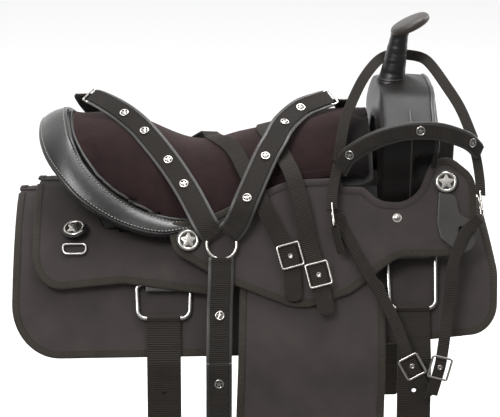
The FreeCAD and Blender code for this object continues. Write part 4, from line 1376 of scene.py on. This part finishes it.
@dataclass
class Conchos:
    """Star conchos, their scalloped rosettes and the domed rivets."""

    star_r: float = 15.5
    points: int = 5

    def star(self, waist: float) -> bpy.types.Object:
        """A ring with a ridged star over a dark back, facing +Z; waist is its inner corners' reach."""
        hoop = sweep("concho_hoop", circle(48) * (self.star_r - 2.0), np.tile([0.0, 0.0, 1.0], (48, 1)),
                     oval(4.8, 3.2, 2.4, 12), loop=True, lift=1.6)
        deselect()
        bpy.ops.mesh.primitive_circle_add(vertices=2 * self.points, radius=1.0, fill_type="TRIFAN")
        star = bpy.context.object
        places = coords(star) * MM
        turn = np.arctan2(places[:, 1], places[:, 0])
        rim = np.linalg.norm(places[:, :2], axis=1) > 0.5
        order = np.rint((turn - math.pi / 2) / (math.pi / self.points)).astype(int)
        tip = order % 2 == 0
        reach = np.where(tip, self.star_r - 1.6, self.star_r * waist)
        angle = math.pi / 2 + order * math.pi / self.points
        flat = np.where(rim[:, None], np.stack([np.cos(angle) * reach, np.sin(angle) * reach], axis=1), 0.0)
        height = np.where(rim, np.where(tip, 2.3, 2.0), 3.1)
        set_coords(star, np.hstack([flat, height[:, None]]))
        with editing(star):
            bpy.ops.mesh.extrude_region_move(TRANSFORM_OT_translate={"value": (0, 0, -0.0012)})
        wear_finish(star, "nickel")
        wear_finish(hoop, "nickel")
        deselect()
        bpy.ops.mesh.primitive_cylinder_add(vertices=40, radius=(self.star_r - 2) * MM, depth=1.4 * MM,
                                            location=(0, 0, 0.7 * MM))
        back = bpy.context.object
        bpy.ops.object.transform_apply(location=True)
        wear_finish(back, "concho_dark")
        only(hoop)
        star.select_set(True)
        back.select_set(True)
        bpy.ops.object.join()
        whole = bpy.context.object
        with editing(whole):
            bpy.ops.mesh.normals_make_consistent(inside=False)
        bpy.ops.object.shade_smooth_by_angle(angle=math.radians(35))
        return whole

    def rosette(self) -> bpy.types.Object:
        """A scalloped leather disc facing +Z."""
        t = np.linspace(0, 2 * math.pi, 145)[:-1]
        edge = circle(144) * (1 + 0.055 * np.abs(np.cos(8 * t)) ** 0.8)[:, None]
        steps = [(0.2, 0.2), (16.6, 0.2), (17.4, 0.6), (17.6, 1.2), (17.2, 1.9), (16.4, 2.2), (0.2, 2.3)]
        rings = np.array([edge * r + np.array([0, 0, z]) for r, z in steps])
        return wear_finish(loft("rosette", rings, angle=50), "rosette_leather")

    def dome(self) -> bpy.types.Object:
        """A domed rivet head with a ring round it, facing +Z, radius 7.5."""
        steps = [(0.1, 0.0), (7.5, 0.0), (7.5, 0.9), (6.8, 1.5), (5.6, 1.3), (5.0, 1.5), (4.2, 2.4),
                 (2.4, 3.1), (0.1, 3.3)]
        rings = np.array([circle(32) * r + np.array([0, 0, z]) for r, z in steps])
        return wear_finish(loft("dome", rings, angle=50), "nickel")

    @staticmethod
    def leaning(disc: Disc, under: bool) -> Disc:
        """The hindmost ornaments lean back on the saddle strings knotted under them."""
        side = -1.0 if disc.middle[1] < 0 else 1.0
        face = disc.face * 0.82 + np.array([-0.28, side * 0.1, 0.62])
        face /= np.linalg.norm(face)
        lift = 5.5 if under else 7.0
        return Disc(disc.middle + disc.face * lift + face * (1.0 if under else 0.0), face, disc.radius * 1.06,
                    disc.thick)

    def build(self) -> None:
        """Set an ornament wherever the frame has one."""
        star, small, rosette, dome = self.star(0.42), self.star(0.3), self.rosette(), self.dome()
        jobs = [(star, "star_conchos", "star_concho", "saddle", "nickel", self.star_r),
                (rosette, "concho_rosettes", "rosette", "saddle", "strap_leather", 18.0),
                (dome, "jockey_rivets", "jockey_rivet", "saddle", "nickel", 7.5),
                (small, "collar_conchos", "collar_concho", "breast_collar", "nickel", self.star_r),
                (small, "girth_conchos", "girth_concho", "girth_strap", "nickel", self.star_r),
                (small, "browband_conchos", "browband_concho", "headstall", "nickel", self.star_r)]
        for source, node, name, body, slot, size in jobs:
            discs = [Disc.of(part) for part in loose_parts(node)]
            for number, disc in enumerate(sorted(discs, key=lambda d: (round(d.middle[0]), d.middle[1])), 1):
                if disc.middle[0] < -200 and source is not dome:
                    disc = self.leaning(disc, source is rosette)
                piece = set_on(source, f"{name}_{number}", disc, disc.radius / size)
                give(piece, body, "nickel", [node])
            LOG.info("%s: %d", name, len(discs))
        for source in (star, small, rosette, dome):
            bpy.data.objects.remove(source)


# ---- straps ------------------------------------------------------------------------


def strap_layers(name: str, line: Points, width: float, body: str, nodes: Sequence[str],
                 thick: float = 5.0, rib: float = 3.3, slant: float = 0.0) -> None:
    """A leather strap with a webbing overlay sewn down its middle.

    Args:
        name: the name its pieces start with.
        line: points and outward ways of the strap's middle.
        width: the leather's width.
        body: the body that it rides on.
        nodes: the frame nodes that it stands for.
        thick: both layers together.
        rib: pitch of the webbing's ribs.
        slant: how far the ribs run along the strap for each millimetre across it.
    """
    path, faces = line[:, :3], line[:, 3:]
    turned = np.exp(-((lengths(path) - 4.0) / 4.5) ** 2)
    section = oval(width, thick * 0.62, 5.0, 24) - np.array([0.0, thick * 0.16])
    base = sweep(name + "_leather", path, faces, section, high=1.0 + 1.1 * turned, lift=0.5 * turned)
    give(base, body, "strap_leather", nodes)
    fine = evenly(line, rib / 5)
    fold = np.exp(-((lengths(fine[:, :3]) - 4.0) / 4.5) ** 2)
    over = sweep(name + "_webbing", fine[:, :3], fine[:, 3:], slab(width * 0.76, thick * 0.46, thick * 0.22),
                 lift=1.9 * fold, ribs=(rib, 0.9, slant), angle=70)
    give(over, body, "collar_nylon", nodes)
    across, out = frames(path, faces)
    for number, side in enumerate((-1, 1)):
        seam = path + across * side * (width * 0.38 - 1.7) + out * thick * 0.5
        row = stitches(f"{name}_stitches_{number}", seam, out)
        give(row, body, "thread")


def webbing(name: str, line: Points, width: float, thick: float, body: str, nodes: Sequence[str],
            rib: float = 3.4, tip: float = 0.0, slant: float = 0.0) -> bpy.types.Object:
    """Plain ribbed webbing.

    Args:
        name: the piece's name.
        line: points and outward ways of its middle.
        width: its width.
        thick: its thickness.
        body: the body that it rides on.
        nodes: the frame nodes that it stands for.
        rib: pitch of its ribs.
        tip: length over which its end narrows.
        slant: how far the ribs run along it for each millimetre across it.

    Returns:
        The piece.
    """
    fine = evenly(line, rib / 4)
    wide = np.ones(len(fine))
    if tip:
        left = (lengths(fine[:, :3])[-1] - lengths(fine[:, :3])) / tip
        wide = np.where(left < 1, np.sqrt(np.maximum(1 - (1 - left) ** 2, 0.02)) * 0.75 + 0.25, 1.0)
    piece = sweep(name, fine[:, :3], fine[:, 3:], slab(width, thick, step=1.2), wide=wide,
                  ribs=(rib, 0.8, slant), angle=70)
    return give(piece, body, "webbing", nodes)


def flank(x: float, n: float, z: float) -> tuple[float, float, float]:
    """A point n above the flat right side at height z."""
    drop = (-BACK_R + (BACK_R + n) * SIN - z) / COS
    r = BACK_R + n
    return x, -r * COS - drop * SIN, -BACK_R + r * SIN - drop * COS


def collar_face(points: Points) -> Points:
    """The collar lies on the jockey but stands up, facing outwards, over the seat."""
    share = np.clip((points[:, 2:] - 15) / 60, 0.0, 1.0)
    crest = np.clip((points[:, 2:] - 135) / 25, 0.0, 1.0)
    face = outward(points) * (1 - share) + np.array([0.0, -0.72, 0.69]) * share
    return face * (1 - crest) + np.array([0.0, -0.4, 0.92]) * crest


def routed(points: Sequence, step: float, faces: Sequence | None = None) -> Points:
    """A strap's line through its route's points, with outward ways."""
    points = np.array(points, float)
    faces = outward(points) if faces is None else np.array(faces, float)
    line = through(np.hstack([points, faces]), step)
    line[:, 3:] /= np.linalg.norm(line[:, 3:], axis=1, keepdims=True)
    return line


HANG_Y = -262.0
COLLAR_REAR = [(-64, -180, -14), (-79, -176, 6), (-104, -138, 46), (-133, -101, 83), (-168, -64, 119),
               (-190, -37, 134), (-212, -14, 145), (-236, 2, 155), (-250, 10, 159)]
COLLAR_FRONT = [(-46, -182, -10), (-32, -180, 8), (-17, -168, 41), (12, -119, 92), (28, -92, 113),
                (43, -58, 129), (70, -12, 141), (98, 3, 149), (117, 11, 153)]
TUG_REAR = [(-262, 14, 160), (-264, 50, 146), (-250, 100, 112), (-215, 136, 72), (-165, 158, 36),
            (-115, 160, 36), (-82, 124, 64), (-66, 70, 87), (-60, 12, 95), (-36, -54, 93), (-18, -113, 71),
            (-5, -146, 51), (7, -166, 29), (29, -181, -11), (46, -195, -39), (50, -218, -84),
            (51, -226, -100)]
TUG_FRONT = [(132, 18, 156), (140, 50, 141), (138, 100, 112), (118, 140, 66), (84, 146, 58), (48, 128, 78),
             (26, 70, 102), (14, 0, 112), (30, -71, 101), (50, -134, 73), (58, -154, 49), (66, -171, 20),
             (75, -190, -25), (87, -211, -63), (96, -232, -105), (98, -238, -118)]
GIRTH = [flank(-56, 47.5, -41), flank(-57, 46.5, -74), flank(-59, 42, -110), flank(-60, 40, -150),
         (-61, -258, -182), (-61, HANG_Y, -206), (-62, HANG_Y, -400)]
BROWBAND = [(122, -133, 74), (137, -146, 101), (173, -158, 126), (209, -166, 139), (238, -168, 142),
            (268, -164, 139), (296, -156, 129), (315, -146, 118), (331, -130, 100)]
CHEEK_TOPS = {"rear": (109.5, 17.0), "front": (329.0, 31.5)}
BROW_TURN = [-0.6, -0.35, -0.2, -0.1, 0.0, 0.1, 0.3, 0.6, 0.9]
CROWN = [(121, -126, 86), (126, -110, 115), (136, -80, 146), (159, -30, 181), (180, 10, 200), (198, 38, 209),
         (216, 44, 213), (240, 44, 212), (260, 36, 209), (272, 13, 202), (288, -35, 183), (307, -80, 155),
         (322, -120, 118)]
CHEEK_REAR = [flank(117, 49, 16), flank(121, 47, 2), flank(128, 46, -10), flank(143, 46, -36),
              flank(161, 46, -66), flank(178, 41, -92), flank(198, 40, -130),
              (211, -255, -162), (222, HANG_Y, -190), (248, HANG_Y, -238)]
CHEEK_FRONT = [flank(328, 52, 10), flank(317, 50, 0), flank(304, 48, -14), flank(290, 46.5, -44),
               flank(284, 45, -68), flank(279, 40, -105), flank(274, 40, -135),
               (268, -256, -164), (262, HANG_Y - 7, -190), (251, HANG_Y - 7, -232)]


def buckle(name: str, body: str, node: str, spot: Sequence[float], along: Sequence[float],
           face: Sequence[float], size: tuple[float, float]) -> None:
    """A cast rectangular buckle with its stud.

    Args:
        name: the name its pieces start with.
        body: the body that it rides on.
        node: the frame node that it stands for.
        spot: its middle.
        along: the way its strap runs.
        face: the way that it faces.
        size: its width and length.
    """
    spot, along, face = (np.array(v, float) for v in (spot, along, face))
    along /= np.linalg.norm(along)
    side = np.cross(along, face)
    side /= np.linalg.norm(side)
    face = np.cross(side, along)
    w, h = size[0] / 2 - 1.6, size[1] / 2 - 1.6
    line = rounded([(-w, -h, 2.5), (w, -h, 2.5), (w, h, 2.5), (-w, h, 2.5)], 1.2)
    path = spot + line[:, :1] * side + line[:, 1:] * along
    hoop = sweep(name + "_frame", path, np.tile(face, (len(path), 1)), oval(3.3, 2.8, 2.6, 14), loop=True)
    give(hoop, body, "nickel", [node])
    wheel = circle(24)
    edge = wheel[:, :1] * side + wheel[:, 1:2] * along
    steps = ((0.1, 0.0), (4.0, 0.0), (4.0, 0.8), (3.3, 1.5), (2.4, 1.5), (1.7, 0.9), (0.1, 0.8))
    rings = np.array([spot - face * 2.2 + edge * r + face * z for r, z in steps])
    give(loft(name + "_stud", rings, angle=40), body, "nickel", [node])


class BreastCollar:
    """The Y-shaped breast collar with its tugs, and the strap down to the girth."""

    width: float = 38.0

    def build(self) -> None:
        """Make the collar's straps, tugs, ring and buckles."""
        for name, route in (("collar_rear", COLLAR_REAR), ("collar_front", COLLAR_FRONT)):
            points = np.array(route, float)
            line = routed(points, 4.0, collar_face(points))
            strap_layers(name, line, self.width, "breast_collar", ["collar_straps"], rib=3.0, slant=0.6)
            self.end_wire(name, line)
        for name, route in (("tug_rear", TUG_REAR), ("tug_front", TUG_FRONT)):
            line = self.over_seat(routed(route, 4.0))
            webbing(name, line, 25.0, 2.5, "breast_collar", ["collar_tugs"], 3.4, 10.0, 0.55)
        faces = [FLANK] * 4 + [(0, -0.96, 0.2)] + [(0, -1, 0)] * 2
        strap_layers("girth", routed(GIRTH, 4.0, faces), self.width, "girth_strap", ["girth_strap"], 4.0, 3.0)
        wear_finish(frame["nodes"]["collar_ring"], "nickel")
        for name, route, i in (("tug_buckle_rear", TUG_REAR, 14), ("tug_buckle_front", TUG_FRONT, 13)):
            here = np.array(route, float)[i - 1:i + 2]
            face = outward(here[1])
            buckle(name, "breast_collar", "tug_buckles", here[1] + face * 3.7, here[-1] - here[0],
                   face, (36, 38))
        LOG.info("breast collar")

    @staticmethod
    def over_seat(line: Points) -> Points:
        """Lay a strap's line down on the seat where it passes over it."""
        seat = bpy.data.objects["seat_suede"]
        places, faces = resting(seat, line[:, :3], 2.2)
        away = np.linalg.norm(places - line[:, :3], axis=1)
        top = np.clip((line[:, 2] - 84) / 8, 0, 1) * np.clip((22 - away) / 6, 0, 1) * (line[:, 0] > -120)
        share = top[:, None]
        line = line * (1 - share) + np.hstack([places, faces]) * share
        line = smooth_line(line, 4)
        line[:, 3:] /= np.linalg.norm(line[:, 3:], axis=1, keepdims=True)
        return line

    def end_wire(self, name: str, line: Points) -> None:
        """The wire square at a strap's upper end that its tug runs through."""
        across, out = frames(line[:, :3], line[:, 3:])
        end, side, face = line[-1, :3], across[-1], out[-1]
        way = np.cross(face, side)
        way *= 1 if way @ (end - line[-2, :3]) > 0 else -1
        corners = rounded([(-16, -5, 3), (16, -5, 3), (16, 6, 3), (-16, 6, 3)], 1.5)
        path = end + corners[:, :1] * side + corners[:, 1:] * way
        wire = sweep(name + "_wire", path, np.tile(face, (len(path), 1)), oval(2.6, 2.6, 2.0, 8), loop=True)
        give(wire, "breast_collar", "nickel")


class Headstall:
    """The headstall laid round the horn: crown, browband, cheeks and their buckles."""

    def build(self) -> None:
        """Make the straps and the padded browband."""
        webbing("crown", routed(CROWN, 4.0, [(0, -1, 0.25)] * len(CROWN)), 16.0, 3.0, "headstall",
                ["crown_strap"], slant=0.5)
        faces = [(turn, -1, 0.1) for turn in BROW_TURN]
        line = routed(BROWBAND, 3.0, faces)
        pad = sweep("browband_pad", line[:, :3], line[:, 3:], oval(27.0, 6.4, 2.6, 24) - np.array([0.0, 0.8]))
        give(pad, "headstall", "strap_leather", ["browband"])
        fine = evenly(line, 0.6)
        over = sweep("browband_webbing", fine[:, :3], fine[:, 3:], slab(19.5, 3.0, 2.4, 2.0),
                     ribs=(3.0, 0.8, 0.0), angle=70)
        give(over, "headstall", "collar_nylon", ["browband"])
        across, out = frames(line[:, :3], line[:, 3:])
        for number, side in enumerate((-1, 1)):
            row = stitches(f"browband_stitches_{number}", line[:, :3] + across * side * 8.4 + out * 3.8, out)
            give(row, "headstall", "thread")
        for name, route in (("rear", CHEEK_REAR), ("front", CHEEK_FRONT)):
            faces = [FLANK] * 7 + [(0, -0.97, 0.2)] + [(0, -1, 0)] * 2
            webbing("cheek_" + name, routed(route, 4.0, faces), 17.0, 3.0, "cheek_" + name,
                    ["cheek_strap_" + name])
            node = "cheek_buckle_" + name
            here = np.array(route, float)[8:10]
            buckle(node, "cheek_" + name, node, here[0] + np.array([0, -3.4, 0]), here[1] - here[0],
                   (0, -1, 0), (32, 36))
            x, z = CHEEK_TOPS[name]
            buckle(node + "_top", "cheek_" + name, node, flank(x, 60, z), (-0.1, SIN, COS),
                   (1, 0, 0.1), (30, 36))
        for name, spots, face, wide in (
                ("stub_rear", [(120, 50, 82), (114, 52, 62), (110, 54, 42), (109, 57, 24)],
                 (-0.3, -0.9, 0.3), 16.0),
                ("stub_front", [(322, 50, 110), (327, 52, 88), (330, 54, 62), (330, 57, 42)],
                 (0.4, -0.9, 0.3), 16.0),
                ("tail_rear", [(111, 61, 4), (115, 61, -14), (121, 58, -34)],
                 (-0.75, -0.6, 0.25), 14.0)):
            route = [flank(*spot) for spot in spots]
            line = routed(route, 3.0, [face] * len(route))
            webbing("headstall_" + name, line, wide, 2.6, "headstall", [])
        LOG.info("headstall")


# ---- rigging, leathers and stirrups --------------------------------------------------


@dataclass
class Rigging:
    """The rigging rings, the billets on them and the straps that hold them."""

    layer: float = 18.5
    width: float = 50.0
    bottom: float = -415.0
    wire: float = 3.25
    hole_z: float = -235.0

    def build(self) -> None:
        """Make the billets and dress the rings."""
        for name, x, ring_z in (("rear", -141.5, -84.0 - 51.8 * COS), ("front", 227.5, -44.0 - 86.0 * COS)):
            right = self.billet(name, x, ring_z)
            left = [mirrored(p, p.name.replace("right", "left")) for p in right]
            for side, pieces in ((Side.RIGHT, right), (Side.LEFT, left)):
                body = f"{name}_billet_{side.word}"
                give(pieces[0], body, "webbing", [body])
                for row in pieces[1:]:
                    give(row, body, "thread")
                wear_finish(frame["nodes"][f"{name}_dee_{side.word}"], "steel")
        straps = softened(["rigging_straps"], "rigging_leather", 2.0, 3)
        give(straps, "saddle", "strap_leather", ["rigging_straps"])
        keepers = softened(["cinch_keepers"], "cinch_keeper_leather", 1.0, 3)
        give(keepers, "saddle", "strap_leather", ["cinch_keepers"])
        for side in Side:
            wear_finish(frame["nodes"][f"concho_dee_{side.word}"], "steel")
        LOG.info("rigging")

    def billet(self, name: str, x: float, ring_z: float) -> list[bpy.types.Object]:
        """One webbing billet, rolled over its ring, with a hole for the cinch's tongue."""
        drape = Drape(self.layer, -183.0, 25.0)
        start = float(drape.reach(np.array([ring_z]))[0])
        end = float(drape.reach(np.array([self.bottom]))[0])
        s = np.arange(start - 5.0, end, 0.75)
        near = np.sqrt((self.wire + 1.8) ** 2 - np.minimum(np.abs(s - start), 5.0) ** 2)
        half = np.where(s < start, near, np.maximum(near, 2.0))
        half = np.maximum(half, 0.6)
        path = drape.place(np.full_like(s, x), s)
        wide = np.where(s > end - 8, 1 - 0.25 * ((s - end + 8) / 8) ** 2, 1.0)
        piece = sweep(f"{name}_billet_webbing_right", path, drape.out(s), oval(self.width, 2.0, 9.0, 20),
                      high=half, wide=wide, angle=70)
        set_coords(piece, self.ribbed(coords(piece), path, drape.out(s), s))
        wear_finish(piece, "webbing")
        deselect()
        bpy.ops.mesh.primitive_cylinder_add(vertices=20, radius=3.5 * MM, depth=0.2,
                                            location=(x * MM, -0.24, self.hole_z * MM),
                                            rotation=(math.pi / 2, 0, 0))
        drill = bpy.context.object
        modify(piece, "BOOLEAN", operation="DIFFERENCE", object=drill, solver="EXACT")
        bpy.data.objects.remove(drill)
        rows = []
        for number, off in enumerate((14.0, 44.0)):
            t = np.linspace(-20, 20, 12)
            here = drape.place(x + t, np.full_like(t, start + off), 2.2)
            rows.append(stitches(f"{name}_billet_stitches_right_{number}", here,
                                 drape.out(np.full_like(t, start + off))))
        return [piece, *rows]

    @staticmethod
    def ribbed(places: Points, path: Points, faces: Points, s: Points) -> Points:
        """Push a billet's skin in and out in ribs across it."""
        order = np.argsort(-path[:, 2])
        at = np.interp(-places[:, 2], -path[order, 2], s[order])
        middle = np.stack([np.interp(at, s, path[:, c]) for c in range(3)], axis=1)
        face = np.stack([np.interp(at, s, faces[:, c]) for c in range(3)], axis=1)
        side = np.sign(((places - middle) * face).sum(1))
        return places + face * (side * 0.35 * np.sin(at * 2 * math.pi / 3.4))[:, None]


@dataclass
class Stirrups:
    """The stirrups, leather-covered, each on its bolt under the fender."""

    x: float = 78.0
    bolt_z: float = -481.0
    depth: float = 50.0
    loop_r: float = 8.2

    def build(self) -> None:
        """Make both stirrups, their leather loops and treads."""
        y = Drape(31.5, -160.0, 100.0).place(0.0, 900.0)[1]
        half = [(-36, 21), (-35.5, 0), (-39, -30), (-45, -62), (-58, -92), (-70, -118), (-70, -136),
                (-60, -148), (-40, -149)]
        outer = [*half, (0, -149), *((-a, b) for a, b in reversed(half))]
        path = through([(self.x + a, y, self.bolt_z + b) for a, b in outer], 3.0)
        out = path - np.array([self.x, y, self.bolt_z - 85.0])
        out /= np.linalg.norm(out, axis=1, keepdims=True)
        low = np.clip((self.bolt_z - path[:, 2]) / 120.0, 0, 1)
        arm = sweep("stirrup_leather_right", path, out, oval(self.depth, 12.0, 5.0, 24),
                    wide=0.78 + 0.22 * low)
        away = circle(36)[:, [2, 0, 1]] * self.loop_r
        ring = away + np.array([self.x, y, self.bolt_z])
        loop = sweep("stirrup_loop_right", ring, away, oval(52.0, 4.0, 5.0, 16), loop=True)
        across, face = frames(path, out)
        rows = [stitches(f"stirrup_stitches_right_{k}", path + across * side * (0.39 + 0.11 * low)[:, None]
                         * (self.depth - 7) + face * 6.1, face, 5.0, 3.6, 0.9, "pale_thread")
                for k, side in enumerate((-1, 1))]
        for piece, body, finish, slot, nodes in [
                (arm, "stirrup", "smooth_leather", "stirrup_cover", ["stirrup"]),
                (loop, "fender", "strap_leather", "strap_leather", []),
                *[(row, "stirrup", "pale_thread", "stirrup_cover", []) for row in rows]]:
            give_both(piece, lambda side, body=body: f"{body}_{side.word}", finish,
                      lambda side, nodes=nodes: [f"{n}_{side.word}" for n in nodes])
        for side in Side:
            wear_finish(frame["nodes"][f"stirrup_bolt_{side.word}"], "steel")
            wear_finish(frame["nodes"][f"stirrup_tread_{side.word}"], "tread_rubber")
        LOG.info("stirrups")


# ---- studio -------------------------------------------------------------------------


@dataclass
class Studio:
    """A pale floor, soft lights and the camera."""

    azimuth: float = math.radians(-2.0)
    elevation: float = math.radians(15.0)
    away: float = 3.7
    lens: float = 172.0
    shift: tuple[float, float] = (-0.009, -0.025)
    bright: float = 1.7
    sky: tuple = ((-1.0, 0.06), (-0.3, 0.2), (-0.05, 0.1), (0.12, 0.12), (0.5, 0.2), (0.72, 0.5), (1.0, 0.85))
    back: tuple = ((-1.0, 0.0), (0.1, 0.0), (0.5, 0.62), (1.0, 0.62))

    def build(self) -> None:
        """Set the floor, the lights and the camera."""
        self.floor()
        self.lights()
        self.camera()

    def floor(self) -> None:
        """A wide pale floor under the lowest piece."""
        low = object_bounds()[0].z
        deselect()
        bpy.ops.mesh.primitive_plane_add(size=80.0, location=(0.0, 0.0, low - 0.002))
        plane = bpy.context.object
        plane.name = "studio_floor"
        material = bpy.data.materials.new("floor")
        material.use_nodes = True
        shader = material.node_tree.nodes["Principled BSDF"]
        shader.inputs["Base Color"].default_value = (0.93, 0.93, 0.93, 1.0)
        shader.inputs["Roughness"].default_value = 0.9
        plane.data.materials.append(material)
        plane.visible_glossy = False
        plane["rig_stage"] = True

    def lights(self) -> None:
        """A bright even sky and two soft boxes."""
        scene = bpy.context.scene
        scene.view_settings.view_transform = "Standard"
        world = bpy.data.worlds.new("studio")
        world.use_nodes = True
        nodes, links = world.node_tree.nodes, world.node_tree.links
        way = nodes.new("ShaderNodeSeparateXYZ")
        links.new(nodes.new("ShaderNodeTexCoord").outputs["Generated"], way.inputs[0])
        level = nodes.new("ShaderNodeMath")
        level.operation = "MAXIMUM"
        for socket, axis, stops in ((0, "Z", self.sky), (1, "Y", self.back)):
            reach = nodes.new("ShaderNodeMapRange")
            reach.inputs["From Min"].default_value = -1.0
            links.new(way.outputs[axis], reach.inputs["Value"])
            ramp = nodes.new("ShaderNodeValToRGB")
            links.new(reach.outputs[0], ramp.inputs["Fac"])
            elements = ramp.color_ramp.elements
            while len(elements) < len(stops):
                elements.new(0.5)
            for element, (place, bright) in zip(elements, stops):
                element.position = (place + 1) / 2
                element.color = (bright, bright, bright, 1.0)
            links.new(ramp.outputs["Color"], level.inputs[socket])
        links.new(level.outputs[0], nodes["Background"].inputs["Color"])
        nodes["Background"].inputs["Strength"].default_value = self.bright
        scene.world = world
        for name, place, size, power in (("key_light", (-1.6, -2.6, 2.6), 1.8, 90.0),
                                         ("top_light", (0.3, 0.4, 2.8), 1.6, 60.0),
                                         ("rim_light", (2.2, 1.2, 1.4), 1.2, 30.0)):
            light = bpy.data.lights.new(name, "AREA")
            light.shape = "DISK"
            light.size = size
            light.energy = power
            lamp = bpy.data.objects.new(name, light)
            scene.collection.objects.link(lamp)
            lamp.location = place
            lamp.rotation_euler = (-Vector(place)).to_track_quat("-Z", "Y").to_euler()

    def camera(self) -> None:
        """The camera, a little above and square to the right side."""
        back = Vector((math.sin(self.azimuth) * math.cos(self.elevation),
                       -math.cos(self.azimuth) * math.cos(self.elevation), math.sin(self.elevation)))
        data = bpy.data.cameras.new("camera")
        data.lens = self.lens
        data.sensor_width = 36.0
        data.shift_x, data.shift_y = self.shift
        camera = bpy.data.objects.new("camera", data)
        bpy.context.scene.collection.objects.link(camera)
        camera.location = back * self.away
        camera.rotation_euler = (-back).to_track_quat("-Z", "Y").to_euler()
        bpy.context.scene.camera = camera


def main() -> None:
    """Build the saddle from the skirts up, then the tack laid on it and the studio."""
    logging.basicConfig(level=logging.INFO, format="%(message)s")
    parts = (Panels(), Seat(), Fork(), Rigging(), Stirrups(), BreastCollar(), Headstall(), Conchos(),
             Studio())
    for part in parts:
        part.build()
        LOG.info("%s done", type(part).__name__)


if __name__ == "__main__":
    main()
